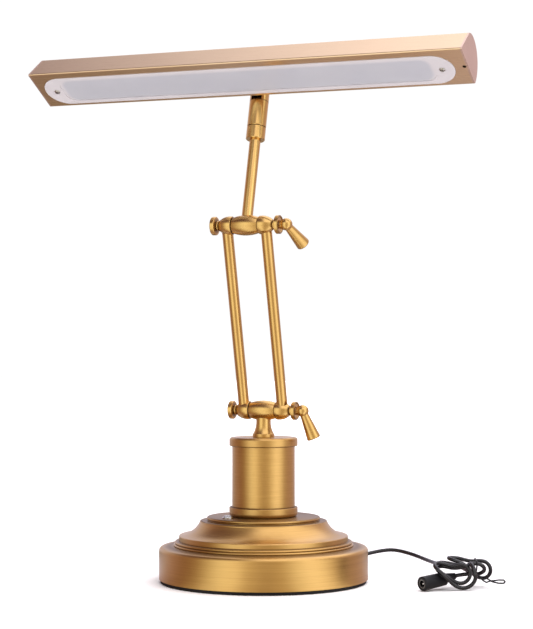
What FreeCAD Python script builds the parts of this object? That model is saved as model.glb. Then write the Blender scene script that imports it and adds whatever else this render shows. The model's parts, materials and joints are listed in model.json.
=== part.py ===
"""Piano lamp: weighted foot, drum, two clamp hinges, swing arms and a long prism-shaped head.

Millimetres, +Z up, +X along the hinge axes and the head, +Y to the back of the lamp.
The origin is the centre of the underside of the foot.
"""
import FreeCAD, Part
import math
import os
import Sketcher
from FreeCAD import Placement, Rotation, Vector

doc = FreeCAD.newDocument("piano_lamp")
sheet = doc.addObject("Spreadsheet::Sheet", "Sizes")
X_AXIS = Vector(1, 0, 0)
Y_AXIS = Vector(0, 1, 0)
Z_AXIS = Vector(0, 0, 1)

# ---------------------------------------------------------------- driving dimensions
SIZES = {
    # foot
    "foot_radius": 90.0,
    "foot_wall": 1.6,
    "pad_thickness": 3.0,
    "pad_inset": 1.3,
    "shoulder_height": 30.4,
    "shoulder_round": 3.0,
    "bead_radius": 76.9,
    "bead_round": 1.0,
    "step_radius": 72.8,
    "step_height": 40.2,
    "cove_radius": 20.4,
    "ledge_radius": 55.0,
    "ledge_height": 53.0,
    "plateau_radius": 48.9,
    "plateau_rise": 3.3,
    "weight_radius": 76.0,
    "weight_thickness": 10.0,
    "boss_radius": 16.0,
    # drum
    "collar_radius": 29.5,
    "collar_height": 8.4,
    "collar_floor": 2.0,
    "drum_radius": 27.1,
    "drum_wall": 1.6,
    "drum_length": 58.8,
    "cap_radius": 29.5,
    "cap_height": 7.4,
    "cap_spigot": 3.1,
    "tie_rod_radius": 5.0,
    "tie_rod_bore": 3.4,
    "nut_flats": 17.0,
    "nut_height": 6.0,
    # stem
    "stem_foot_radius": 9.4,
    "stem_lip": 3.2,
    "stem_top_radius": 6.35,
    "stem_height": 16.9,
    # clamp hinges
    "barrel_radius": 8.8,
    "barrel_end_radius": 6.8,
    "barrel_length": 23.8,
    "barrel_seat": 6.2,
    "cup_gap": 0.3,
    "cup_mouth_radius": 7.8,
    "cup_tail_radius": 4.3,
    "cup_length": 12.3,
    "bolt_radius": 2.5,
    "disc_radius": 7.9,
    "neck_radius": 4.4,
    "disc_length": 6.2,
    "lever_ball": 5.2,
    "lever_length": 25.7,
    "lever_start_radius": 3.2,
    "lever_end_radius": 6.0,
    "lever_cant": 19.4,
    "lower_lever_turn": 12.0,
    "upper_lever_turn": 48.0,
    # arms and rod
    "tube_radius": 4.75,
    "tube_wall": 1.1,
    "tube_seat": 3.4,
    "arm_spread": 17.7,
    "arm_span": 162.0,
    "arm_lean": 13.86,
    "rod_lean": 15.03,
    "rod_to_pin": 123.4,
    # swivel
    "swivel_radius": 8.2,
    "swivel_start": 76.6,
    "swivel_collar_height": 11.2,
    "spigot_radius": 4.0,
    "spigot_height": 15.0,
    "slot_depth": 12.4,
    "slot_width": 9.4,
    "throat_depth": 4.1,
    "pin_radius": 2.0,
    "tongue_thickness": 8.8,
    "tongue_eye_radius": 5.6,
    "tongue_reach": 11.0,
    "tongue_angle": 14.8,
    "tongue_foot": 2.4,
    "bracket_screw_offset": 11.5,
    # head
    "head_length": 389.0,
    "head_face": 47.0,
    "ridge_run": 13.9,
    "ridge_height": 26.2,
    "back_radius": 22.2,
    "head_slope": 29.1,
    "head_wall": 1.4,
    "end_cap_thickness": 1.6,
    "diffuser_end_margin": 9.0,
    "diffuser_width": 36.0,
    "diffuser_centre": 25.5,
    "diffuser_shift": 2.5,
    "diffuser_thickness": 2.2,
    "diffuser_proud": 0.4,
    "screw_end_margin": 10.5,
    "vent_radius": 1.55,
    "vent_inset": 3.3,
    "vent_height": 23.75,
    "tray_depth": 7.0,
    "tray_thickness": 1.2,
    # push switch
    "switch_reach": 36.2,
    "switch_angle": 234.6,
    "bezel_radius": 4.7,
    "bezel_height": 1.2,
    "sleeve_radius": 4.0,
    "sleeve_length": 6.3,
    "button_radius": 3.25,
    "button_stand": 2.4,
    "button_travel": 1.4,
    # lead
    "gland_angle": 41.9,
    "gland_height": 19.3,
    "gland_radius": 5.0,
    "cord_radius": 1.65,
    "jack_radius": 6.1,
    "jack_length": 26.0,
    "relief_length": 12.0,
    "bundle_angle": 21.9,
    "hank_length": 50.0,
    "hank_depth": 31.0,
    "hank_height": 24.0,
    "fit": 0.05,
}


class Dim:
    """A size that carries its number and the sheet formula that gives it."""

    def __init__(self, number, formula):
        self.number = number
        self.formula = formula

    def __add__(self, other):
        other = dim(other)
        return Dim(self.number + other.number, "(%s + %s)" % (self.formula, other.formula))

    def __sub__(self, other):
        other = dim(other)
        return Dim(self.number - other.number, "(%s - %s)" % (self.formula, other.formula))

    def __mul__(self, other):
        other = dim(other)
        return Dim(self.number * other.number, "(%s * %s)" % (self.formula, other.formula))

    def __truediv__(self, other):
        other = dim(other)
        return Dim(self.number / other.number, "(%s / %s)" % (self.formula, other.formula))

    def __neg__(self):
        return Dim(-self.number, "(0 - %s)" % self.formula)

    def __radd__(self, other):
        return dim(other) + self

    def __rsub__(self, other):
        return dim(other) - self

    def __rmul__(self, other):
        return dim(other) * self

    def __float__(self):
        return float(self.number)


def dim(value):
    """A plain number as a Dim; a Dim as it is."""
    if isinstance(value, Dim):
        return value
    return Dim(float(value), "(%r)" % float(value))


S = {}
for row, (alias, number) in enumerate(SIZES.items(), start=1):
    sheet.set("A%d" % row, alias)
    sheet.set("B%d" % row, str(number))
    sheet.setAlias("B%d" % row, alias)
    S[alias] = Dim(number, "Sizes.%s" % alias)
doc.recompute()


# ---------------------------------------------------------------- modelling helpers
def body(name):
    """A new PartDesign body whose label names its file."""
    made = doc.addObject("PartDesign::Body", name)
    made.Label = name
    return made


def plane(owner, role):
    for feature in owner.Origin.OriginFeatures:
        if feature.Role == role:
            return feature


def sketch(owner, role, lift=None, tilt=None):
    """A sketch on one of the body's own origin planes, lifted by a Dim and tilted by degrees."""
    made = owner.newObject("Sketcher::SketchObject", owner.Name + "_sketch")
    made.AttachmentSupport = [(plane(owner, role), "")]
    made.MapMode = "FlatFace"
    if tilt is not None:
        made.AttachmentOffset = Placement(Vector(0, 0, 0), tilt)
    if lift is not None:
        made.setExpression("AttachmentOffset.Base.z", dim(lift).formula)
    return made


def bind(made, kind, args, value):
    """A dimensional constraint whose value is the Dim's formula; negative ones run backwards."""
    value = dim(value)
    if value.number < 0 and kind in ("DistanceX", "DistanceY"):
        args = args[2:] + args[:2]
        value = -value
    index = made.addConstraint(Sketcher.Constraint(kind, *args, value.number))
    made.setExpression("Constraints[%d]" % index, value.formula)


def fix_point(made, geo, pos, at_x, at_y):
    bind(made, "DistanceX", (-1, 1, geo, pos), at_x)
    bind(made, "DistanceY", (-1, 1, geo, pos), at_y)


def arc_centre(start, end, radius):
    """Centre of the minor arc from start to end: on the left of travel where radius is positive."""
    middle = ((start[0] + end[0]) / 2, (start[1] + end[1]) / 2)
    run = (end[0] - start[0], end[1] - start[1])
    chord = math.hypot(*run)
    height = math.sqrt(radius * radius - chord * chord / 4)
    side = 1 if radius > 0 else -1
    return (middle[0] - side * run[1] / chord * height, middle[1] + side * run[0] / chord * height)


def outline(made, corners):
    """A closed outline. Each corner is (x, y) or (x, y, radius); the radius bends the edge that
    leaves the corner, with its centre on the left of travel where it is positive."""
    count = len(corners)
    spots = [(float(dim(c[0])), float(dim(c[1]))) for c in corners]
    starts = []
    ends = []
    first = made.GeometryCount
    for i, corner in enumerate(corners):
        here = spots[i]
        there = spots[(i + 1) % count]
        if len(corner) == 2:
            made.addGeometry(Part.LineSegment(Vector(*here, 0), Vector(*there, 0)))
            starts.append(1)
            ends.append(2)
            continue
        radius = float(dim(corner[2]))
        centre = arc_centre(here, there, radius)
        circle = Part.Circle(Vector(*centre, 0), Z_AXIS, abs(radius))
        angle_here = math.atan2(here[1] - centre[1], here[0] - centre[0])
        angle_there = math.atan2(there[1] - centre[1], there[0] - centre[0])
        if radius > 0:
            made.addGeometry(Part.ArcOfCircle(circle, angle_here, angle_there))
            starts.append(1)
            ends.append(2)
        else:
            made.addGeometry(Part.ArcOfCircle(circle, angle_there, angle_here))
            starts.append(2)
            ends.append(1)
    for i in range(count):
        after = (i + 1) % count
        made.addConstraint(Sketcher.Constraint("Coincident", first + i, ends[i], first + after, starts[after]))
    for i, corner in enumerate(corners):
        fix_point(made, first + i, starts[i], corner[0], corner[1])
        if len(corner) == 3:
            size = dim(corner[2])
            bind(made, "Radius", (first + i,), size if size.number > 0 else -size)


def ring(made, at_x, at_y, radius):
    """A circle with a bound centre and radius."""
    spot = Vector(float(dim(at_x)), float(dim(at_y)), 0)
    geo = made.addGeometry(Part.Circle(spot, Z_AXIS, float(dim(radius))))
    fix_point(made, geo, 3, at_x, at_y)
    bind(made, "Radius", (geo,), radius)


def slot(made, at_x, at_y, half_run, radius):
    """A slot with round ends, lying along the sketch's x."""
    right = dim(at_x) + half_run
    left = dim(at_x) - half_run
    x_right = float(right)
    x_left = float(left)
    middle = float(dim(at_y))
    round_off = float(radius)
    low = middle - round_off
    high = middle + round_off
    quarter = math.pi / 2
    bottom = made.addGeometry(Part.LineSegment(Vector(x_left, low, 0), Vector(x_right, low, 0)))
    end = Part.Circle(Vector(x_right, middle, 0), Z_AXIS, round_off)
    right_end = made.addGeometry(Part.ArcOfCircle(end, -quarter, quarter))
    top = made.addGeometry(Part.LineSegment(Vector(x_right, high, 0), Vector(x_left, high, 0)))
    end = Part.Circle(Vector(x_left, middle, 0), Z_AXIS, round_off)
    left_end = made.addGeometry(Part.ArcOfCircle(end, quarter, 3 * quarter))
    made.addConstraint(Sketcher.Constraint("Tangent", bottom, 2, right_end, 1))
    made.addConstraint(Sketcher.Constraint("Tangent", right_end, 2, top, 1))
    made.addConstraint(Sketcher.Constraint("Tangent", top, 2, left_end, 1))
    made.addConstraint(Sketcher.Constraint("Tangent", left_end, 2, bottom, 1))
    made.addConstraint(Sketcher.Constraint("Equal", right_end, left_end))
    made.addConstraint(Sketcher.Constraint("Horizontal", bottom))
    fix_point(made, right_end, 3, right, at_y)
    bind(made, "DistanceX", (-1, 1, left_end, 3), left)
    bind(made, "Radius", (right_end,), radius)


def rounded_box(made, at_x, at_y, half_length, half_width, radius):
    """A rectangle with rounded corners, given by its centre and its half sizes."""
    left = dim(at_x) - half_length
    right = dim(at_x) + half_length
    low = dim(at_y) - half_width
    high = dim(at_y) + half_width
    outline(made, [
        (left + radius, low), (right - radius, low, radius),
        (right, low + radius), (right, high - radius, radius),
        (right - radius, high), (left + radius, high, radius),
        (left, high - radius), (left, low + radius, radius)])


def revolve(owner, corners, axis="V_Axis", role="XZ_Plane"):
    """Revolve an outline about the sketch's own vertical or horizontal axis."""
    made = sketch(owner, role)
    outline(made, corners)
    turned = owner.newObject("PartDesign::Revolution", owner.Name + "_turn")
    turned.Profile = made
    turned.ReferenceAxis = (made, [axis])
    turned.Angle = 360
    made.Visibility = False
    return turned


def pad(owner, made, length, both=False, back=False):
    grown = owner.newObject("PartDesign::Pad", owner.Name + "_pad")
    grown.Profile = made
    grown.setExpression("Length", dim(length).formula)
    if both:
        grown.SideType = "Symmetric"
    grown.Reversed = back
    return grown


def pocket(owner, made, depth, both=False, back=False):
    """Cut a sketch into the body and make sure that it took something away."""
    doc.recompute()
    before = owner.Shape.Volume
    cut = owner.newObject("PartDesign::Pocket", owner.Name + "_pocket")
    cut.Profile = made
    cut.setExpression("Length", dim(depth).formula)
    if both:
        cut.SideType = "Symmetric"
    cut.Reversed = back
    doc.recompute()
    if owner.Shape.Volume > before - 0.01:
        raise RuntimeError("pocket on %s cuts nothing" % owner.Name)
    return cut


def place(made, base=Vector(0, 0, 0), turn=Rotation()):
    made.Placement = Placement(base, turn)
    return made


def about_x(degrees):
    return Rotation(X_AXIS, float(degrees))


def cylinder(name, radius, length, base, turn=Rotation()):
    """A Part cylinder along its own Z, with its size bound to the sheet."""
    made = doc.addObject("Part::Cylinder", name)
    made.setExpression("Radius", dim(radius).formula)
    made.setExpression("Height", dim(length).formula)
    return place(made, base, turn)


def cut_away(name, blank, tools):
    """The blank without the tools, as one labelled object."""
    tool = tools[0]
    if len(tools) > 1:
        tool = doc.addObject("Part::MultiFuse", name + "_tools")
        tool.Shapes = tools
    made = doc.addObject("Part::Cut", name)
    made.Base = blank
    made.Tool = tool
    made.Label = name
    return made


def join(name, pieces):
    made = doc.addObject("Part::MultiFuse", name)
    made.Shapes = pieces
    made.Refine = True
    made.Label = name
    return made


def hexagon(made, across_flats):
    """A hexagon about the sketch's origin, made of bound corners."""
    half = dim(across_flats) / 2
    corner = half / math.cos(math.radians(30))
    outline(made, [
        (corner, 0), (corner / 2, half), (-corner / 2, half),
        (-corner, 0), (-corner / 2, -half), (corner / 2, -half)])


NODES = []


def node(made):
    """Note an object as one of the lamp's pieces."""
    NODES.append(made)
    return made


# ---------------------------------------------------------------- where things stand
plateau_height = S["ledge_height"] + S["plateau_rise"]
collar_base = plateau_height
drum_base = collar_base + S["collar_floor"]
cap_base = drum_base + S["drum_length"]
stem_base = cap_base + S["cap_height"]
stem_top = stem_base + S["stem_height"]
hinge_height = stem_top + S["barrel_seat"]
recess_height = S["nut_height"] + 2.0
plateau_under = plateau_height - S["foot_wall"] - 0.1

arm_turn = about_x(S["arm_lean"])
rod_turn = about_x(-S["rod_lean"])
lower_hinge = Vector(0, 0, float(hinge_height))
upper_hinge = lower_hinge + arm_turn.multVec(Vector(0, 0, float(S["arm_span"])))
tilt_pin_at = upper_hinge + rod_turn.multVec(Vector(0, 0, float(S["rod_to_pin"])))


# ---------------------------------------------------------------- foot
def base_shell():
    """Spun shell: plateau with a rolled edge, ledge, cove, step, two beads, shoulder and wall."""
    made = body("base_shell")
    wall = S["foot_wall"]
    foot = S["foot_radius"]
    shoulder = S["shoulder_height"]
    inner_wall = foot - wall
    inner_step = S["step_radius"] - wall
    inner_ledge = S["ledge_radius"] - wall
    inner_plateau = S["plateau_radius"] - wall - 0.9
    hub = S["tie_rod_radius"] + 0.1
    bead = S["bead_radius"]
    revolve(made, [
        (foot, S["pad_thickness"]),
        (foot, shoulder - S["shoulder_round"], S["shoulder_round"]),
        (foot - S["shoulder_round"], shoulder),
        (bead + 0.7, shoulder + 0.9),
        (bead, shoulder + 0.9, S["bead_round"]),
        (bead - 0.5, shoulder + 2.8),
        (bead - 1.0, shoulder + 3.0, S["bead_round"]),
        (bead - 1.6, shoulder + 4.9),
        (S["step_radius"], shoulder + 5.3),
        (S["step_radius"], S["step_height"] - 0.8, 0.8),
        (S["step_radius"] - 0.8, S["step_height"], -S["cove_radius"]),
        (S["ledge_radius"], S["ledge_height"] - 1.4, 1.4),
        (S["ledge_radius"] - 1.4, S["ledge_height"]),
        (S["plateau_radius"] - 0.9, S["ledge_height"]),
        (S["plateau_radius"] - 0.9, S["ledge_height"] + 0.7, 1.35),
        (S["plateau_radius"] - 1.2, plateau_height),
        (hub, plateau_height),
        (hub, plateau_under),
        (inner_plateau, plateau_under),
        (inner_plateau, S["ledge_height"] - wall),
        (inner_ledge, S["ledge_height"] - wall),
        (inner_ledge, S["ledge_height"] - wall - 1.4, S["cove_radius"] + wall),
        (inner_step, S["step_height"] - wall),
        (inner_step, shoulder + 3.6),
        (bead - wall, shoulder - wall + 0.6),
        (inner_wall - 2.0, shoulder - wall),
        (inner_wall, shoulder - wall - 2.0),
        (inner_wall, S["pad_thickness"]),
    ])
    doc.recompute()
    switch_hole = cylinder("switch_hole", S["sleeve_radius"] + S["fit"], 12, switch_spot(-6))
    turn = Rotation(Z_AXIS, float(S["gland_angle"])).multiply(Rotation(Y_AXIS, 90))
    start = Rotation(Z_AXIS, float(S["gland_angle"])).multVec(Vector(float(foot) - 6, 0, 0))
    start.z = float(S["gland_height"])
    cord_hole = cylinder("cord_hole", S["gland_radius"] - 1.0, 12, start, turn)
    made.Label = "base_shell_blank"
    return node(cut_away("base_shell", made, [switch_hole, cord_hole]))


def base_weight():
    """Cast ballast: a disc with a boss that carries the plateau, and a recess for the nut."""
    made = body("base_weight")
    bottom = S["pad_thickness"]
    top = bottom + S["weight_thickness"]
    bore = S["tie_rod_radius"] + 0.25
    recess = S["nut_flats"] / 2 + 4.0
    revolve(made, [
        (recess, bottom),
        (S["weight_radius"], bottom),
        (S["weight_radius"], top - 2.0),
        (S["weight_radius"] - 2.0, top),
        (S["boss_radius"] + 6.0, top, -6.0),
        (S["boss_radius"], top + 6.0),
        (S["boss_radius"], plateau_under),
        (bore, plateau_under),
        (bore, bottom + recess_height),
        (recess, bottom + recess_height),
    ])
    return node(made)


def base_pad():
    made = body("base_pad")
    radius = S["foot_radius"] - S["pad_inset"]
    revolve(made, [
        (0, 0),
        (radius - 0.6, 0, 0.6),
        (radius, 0.6),
        (radius, S["pad_thickness"]),
        (0, S["pad_thickness"]),
    ])
    return node(made)


# ---------------------------------------------------------------- drum and stem
def drum_collar():
    made = body("drum_collar")
    outer = S["collar_radius"]
    top = collar_base + S["collar_height"]
    hub = S["tie_rod_radius"] + 0.1
    well = S["drum_radius"] + 0.3
    revolve(made, [
        (hub, collar_base),
        (outer - 2.0, collar_base, 4.2),
        (outer, collar_base + 3.4),
        (outer, top - 0.9, 0.9),
        (outer - 0.9, top),
        (well + 0.5, top),
        (well, top - 0.5),
        (well, drum_base),
        (hub, drum_base),
    ])
    return node(made)


def drum_tube():
    made = body("drum_tube")
    revolve(made, [
        (S["drum_radius"] - S["drum_wall"], drum_base),
        (S["drum_radius"], drum_base),
        (S["drum_radius"], cap_base),
        (S["drum_radius"] - S["drum_wall"], cap_base),
    ])
    return node(made)


def drum_cap():
    """Flange with a rounded top edge and a register that centres it in the drum."""
    made = body("drum_cap")
    hub = S["tie_rod_radius"] + 0.1
    register = S["drum_radius"] - S["drum_wall"] - 0.1
    revolve(made, [
        (hub, stem_base - 4.0),
        (register - 3.0, stem_base - 4.0),
        (register - 3.0, cap_base - S["cap_spigot"]),
        (register, cap_base - S["cap_spigot"]),
        (register, cap_base),
        (S["cap_radius"] - 0.6, cap_base, 0.6),
        (S["cap_radius"], cap_base + 0.6),
        (S["cap_radius"], stem_base - 2.2, 2.2),
        (S["cap_radius"] - 2.2, stem_base),
        (hub, stem_base),
    ])
    return node(made)


def tie_rod():
    made = body("tie_rod")
    foot = S["pad_thickness"] + 1.2
    revolve(made, [
        (S["tie_rod_bore"], foot),
        (S["tie_rod_radius"], foot),
        (S["tie_rod_radius"], stem_base + 8.0),
        (S["tie_rod_bore"], stem_base + 8.0),
    ])
    return node(made)


def tie_rod_nut():
    made = body("tie_rod_nut")
    top = S["pad_thickness"] + recess_height
    face = sketch(made, "XY_Plane", lift=top - S["nut_height"])
    hexagon(face, S["nut_flats"])
    ring(face, 0, 0, S["tie_rod_radius"] + S["fit"])
    pad(made, face, S["nut_height"])
    return node(made)


def stem():
    """Trumpet neck: a lip at the foot, a hollow flank, a plain top, and a spigot in the barrel."""
    made = body("stem")
    foot = S["stem_foot_radius"]
    top = S["stem_top_radius"]
    spigot = top - 2.4
    revolve(made, [
        (S["tie_rod_radius"] + S["fit"], stem_base),
        (foot, stem_base),
        (foot, stem_base + S["stem_lip"] - 0.5, 0.5),
        (foot - 0.5, stem_base + S["stem_lip"], -21.5),
        (top, stem_top - 3.4),
        (top, stem_top),
        (spigot, stem_top),
        (spigot, stem_top + 2.4),
        (1.5, stem_top + 2.4),
        (1.5, stem_base + 9.0),
        (S["tie_rod_radius"] + S["fit"], stem_base + 9.0),
    ])
    return node(made)


# ---------------------------------------------------------------- clamp hinges
cup_start = S["barrel_length"] / 2 + S["cup_gap"]
cup_end = cup_start + S["cup_length"]
disc_end = cup_end + S["disc_length"] + 0.1
ball_at = disc_end + 0.1 + S["lever_ball"]


def barrel_blank(name):
    """Barrel turned about the hinge axis, with the bolt's bore through it."""
    made = body(name)
    half = S["barrel_length"] / 2
    end = S["barrel_end_radius"]
    sag = S["barrel_radius"] - end
    bow = (half * half + sag * sag) / (2 * sag)
    bore = S["bolt_radius"] + S["fit"]
    revolve(made, [
        (-half, bore),
        (half, bore),
        (half, end - 0.4),
        (half - 0.4, end, bow),
        (0.4 - half, end),
        (-half, end - 0.4),
    ], axis="H_Axis")
    return made


def lower_barrel():
    """The stem enters from below: a flat-bottomed seat and a smaller hole for its spigot."""
    made = barrel_blank("lower_barrel")
    reach = S["barrel_radius"] + 1.0
    seat = sketch(made, "XY_Plane", lift=-reach)
    ring(seat, 0, 0, S["stem_top_radius"] + 0.06)
    pocket(made, seat, reach - S["barrel_seat"], back=True)
    hole = sketch(made, "XY_Plane", lift=-reach)
    ring(hole, 0, 0, S["stem_top_radius"] - 2.4 + S["fit"])
    pocket(made, hole, reach - S["barrel_seat"] + 2.6, back=True)
    return node(place(made, lower_hinge))


def upper_barrel():
    """The rod enters from above."""
    made = barrel_blank("upper_barrel")
    reach = S["barrel_radius"] + 1.0
    seat = sketch(made, "XY_Plane", lift=reach)
    ring(seat, 0, 0, S["tube_radius"] + S["fit"])
    pocket(made, seat, reach - S["tube_seat"])
    return node(place(made, upper_hinge, rod_turn))


def cup(name, side, hinge, turn):
    """Clamp cup on one side of a barrel: a dome with a flat mouth and a seat for the arm tube."""
    made = body(name)
    bore = S["bolt_radius"] + S["fit"]
    near = side * cup_start
    far = side * cup_end
    flank = [
        (near, bore),
        (near, S["cup_mouth_radius"] - 0.4),
        (near + side * 0.4, S["cup_mouth_radius"], -side * 14.0),
        (far - side * 0.3, S["cup_tail_radius"]),
        (far, S["cup_tail_radius"] - 0.3),
        (far, bore),
    ]
    revolve(made, flank, axis="H_Axis")
    reach = S["cup_mouth_radius"] + 4.0
    seat = sketch(made, "XY_Plane", lift=reach)
    ring(seat, side * S["arm_spread"], 0, S["tube_radius"] + S["fit"])
    pocket(made, seat, reach - S["tube_seat"])
    return node(place(made, hinge, turn))


def disc(name, side, hinge, turn):
    """Turned disc: a neck ring against the cup, a coned back and a dished face.

    The one on the left is blind and ends the bolt; the bolt passes through the right one.
    """
    made = body(name)
    bore = S["bolt_radius"] + S["fit"]
    near = cup_end + 0.1
    far = disc_end
    blind = far - 1.2
    rim = S["disc_radius"]
    neck = S["neck_radius"]
    corners = [
        (near, bore),
        (near, neck - 0.9),
        (near + 0.3, neck - 0.3, -1.2),
        (near + 1.6, neck - 0.3),
        (near + 1.9, neck - 1.0),
        (near + 2.2, neck - 1.0),
        (far - 3.5, rim - 0.4),
        (far - 3.1, rim),
        (far - 0.4, rim),
        (far, rim - 0.4),
        (far, rim - 1.2),
        (far - 0.6, rim - 2.0),
    ]
    if side > 0:
        corners.append((far - 0.6, bore))
    else:
        corners.append((far - 0.6, 0))
        corners.append((blind, 0))
        corners.append((blind, bore))
    if side < 0:
        corners = [mirrored(corner) for corner in corners]
    revolve(made, corners, axis="H_Axis")
    return node(place(made, hinge, turn))


def mirrored(corner):
    """The same corner on the other side of the hinge's middle."""
    if len(corner) == 2:
        return (-dim(corner[0]), corner[1])
    return (-dim(corner[0]), corner[1], -dim(corner[2]))


def bolt(name, hinge, turn):
    left = disc_end - 1.4
    right = ball_at - 0.6
    start = hinge + turn.multVec(Vector(-float(left), 0, 0))
    made = cylinder(name, S["bolt_radius"], left + right, start, turn.multiply(Rotation(Y_AXIS, 90)))
    made.Label = name
    return node(made)


def lever(name, hinge, lever_turn):
    """Ball with a short neck and a tapered handle, and a blind hole for the bolt."""
    ball = doc.addObject("Part::Sphere", name + "_ball")
    ball.setExpression("Radius", S["lever_ball"].formula)
    place(ball, Vector(float(ball_at), 0, 0))
    neck = cylinder(name + "_neck", S["lever_ball"] - 1.5, 3.0, Vector(float(disc_end) + 0.1, 0, 0), Rotation(Y_AXIS, 90))
    handle = doc.addObject("Part::Cone", name + "_handle")
    handle.setExpression("Radius1", S["lever_start_radius"].formula)
    handle.setExpression("Radius2", S["lever_end_radius"].formula)
    handle.setExpression("Height", S["lever_length"].formula)
    doc.recompute()
    far_rim = [number for number, edge in enumerate(handle.Shape.Edges, start=1)
               if edge.Closed and edge.Vertexes[0].Z > float(S["lever_length"]) - 0.1]
    grip = doc.addObject("Part::Fillet", name + "_grip")
    grip.Base = handle
    grip.Edges = [(number, 1.0, 1.0) for number in far_rim]
    place(grip, Vector(float(ball_at), 0, 0), Rotation(Y_AXIS, 180 - float(S["lever_cant"])))
    solid = join(name + "_solid", [ball, neck, grip])
    hole = cylinder(name + "_hole", S["bolt_radius"] + S["fit"], S["lever_ball"] + 0.2,
                    Vector(float(disc_end) - 0.6, 0, 0), Rotation(Y_AXIS, 90))
    return node(place(cut_away(name, solid, [hole]), hinge, about_x(lever_turn)))


# ---------------------------------------------------------------- arms and rod
def tube(name, length, base, turn):
    made = body(name)
    face = sketch(made, "XY_Plane")
    ring(face, 0, 0, S["tube_radius"])
    ring(face, 0, 0, S["tube_radius"] - S["tube_wall"])
    pad(made, face, length)
    return node(place(made, base, turn))


def arm_tube(name, side):
    start = Vector(side * float(S["arm_spread"]), 0, float(S["tube_seat"]))
    length = S["arm_span"] - 2 * S["tube_seat"]
    return tube(name, length, lower_hinge + arm_turn.multVec(start), arm_turn)


def along_rod(distance):
    """The point on the rod's axis at a distance from the upper hinge."""
    return upper_hinge + rod_turn.multVec(Vector(0, 0, float(dim(distance))))


rod_top = S["swivel_start"] + S["swivel_collar_height"] - 4.0
collar_top = S["swivel_start"] + S["swivel_collar_height"]
fork_base = collar_top + 0.4
slot_base = S["rod_to_pin"] - S["slot_depth"]
spigot_top = collar_top + S["spigot_height"]


def upper_rod():
    return tube("upper_rod", rod_top - S["tube_seat"], along_rod(S["tube_seat"]), rod_turn)


def swivel_collar():
    """Ring on the rod's top, with the spigot that the fork turns on."""
    made = body("swivel_collar")
    outer = S["swivel_radius"]
    low = S["swivel_start"]
    revolve(made, [
        (S["tube_radius"] + S["fit"], low),
        (outer - 0.5, low),
        (outer, low + 0.5),
        (outer, collar_top - 0.4),
        (outer - 0.4, collar_top),
        (S["spigot_radius"], collar_top),
        (S["spigot_radius"], spigot_top),
        (1.3, spigot_top),
        (1.3, rod_top + 0.1),
        (S["tube_radius"] + S["fit"], rod_top + 0.1),
    ])
    return node(place(made, upper_hinge, rod_turn))


def swivel_screw():
    """Screw in the spigot whose head keeps the fork down."""
    made = body("swivel_screw")
    seat = spigot_top + 2.4
    revolve(made, [
        (0, spigot_top - 8.0),
        (1.25, spigot_top - 8.0),
        (1.25, spigot_top),
        (2.2, spigot_top),
        (2.2, seat),
        (3.6, seat),
        (3.6, seat + 1.6),
        (0, seat + 1.6),
    ])
    return node(place(made, upper_hinge, rod_turn))


def swivel_fork():
    """Sleeve that turns on the spigot; its two prongs hold the tilt pin.

    The mouth between the prongs is open at the front and the top, and a thin wall closes it behind the
    tongue's eye. Below the eye it narrows to a throat for the screw.
    """
    made = body("swivel_fork")
    outer = S["swivel_radius"]
    crown = S["rod_to_pin"] + outer
    web = spigot_top + 0.3
    revolve(made, [
        (S["spigot_radius"] + S["fit"], fork_base),
        (outer - 0.4, fork_base),
        (outer, fork_base + 0.4),
        (outer, crown),
        (0, crown),
        (0, slot_base),
        (3.9, slot_base),
        (3.9, web + 2.0),
        (2.3, web + 2.0),
        (2.3, web),
        (S["spigot_radius"] + S["fit"], web),
    ])
    half = S["slot_width"] / 2
    under_eye = S["rod_to_pin"] - S["tongue_eye_radius"] - 0.4
    mouth = sketch(made, "XZ_Plane", lift=-(S["tongue_eye_radius"] + 0.5))
    outline(mouth, [(-half, under_eye), (half, under_eye), (half, crown + 1.0), (-half, crown + 1.0)])
    pocket(made, mouth, 3 * outer, back=True)
    throat = sketch(made, "XZ_Plane", lift=-S["throat_depth"])
    outline(throat, [(-half, slot_base), (half, slot_base), (half, under_eye + 1.0), (-half, under_eye + 1.0)])
    pocket(made, throat, 3 * outer, back=True)
    eye = sketch(made, "YZ_Plane")
    ring(eye, 0, S["rod_to_pin"], S["pin_radius"] + 0.03)
    pocket(made, eye, 3 * outer, both=True)
    rounding = sketch(made, "YZ_Plane")
    edge = outer + 2.0
    outline(rounding, [
        (edge, S["rod_to_pin"]), (edge, crown + 2.0), (-edge, crown + 2.0), (-edge, S["rod_to_pin"]),
        (-outer - 0.01, S["rod_to_pin"], -(outer + 0.02)), (0, crown, -(outer + 0.02)),
        (outer + 0.01, S["rod_to_pin"])])
    pocket(made, rounding, 3 * outer, both=True)
    return node(place(made, upper_hinge, rod_turn))


def tilt_pin():
    half = S["swivel_radius"] - 0.3
    start = tilt_pin_at - Vector(float(half), 0, 0)
    made = cylinder("tilt_pin", S["pin_radius"], 2 * half, start, Rotation(Y_AXIS, 90))
    made.Label = "tilt_pin"
    return node(made)


# ---------------------------------------------------------------- head
tongue_turn = about_x(-S["tongue_angle"])
head_turn = about_x(-S["head_slope"])
back_centre = arc_centre(
    (float(S["head_face"]), 0.0), (float(S["ridge_run"]), float(S["ridge_height"])), float(S["back_radius"]))
back_centre_at = tilt_pin_at + tongue_turn.multVec(
    Vector(0, -float(S["back_radius"] + S["tongue_reach"]), 0))
head_at = back_centre_at - head_turn.multVec(Vector(0, back_centre[0], back_centre[1]))


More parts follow.
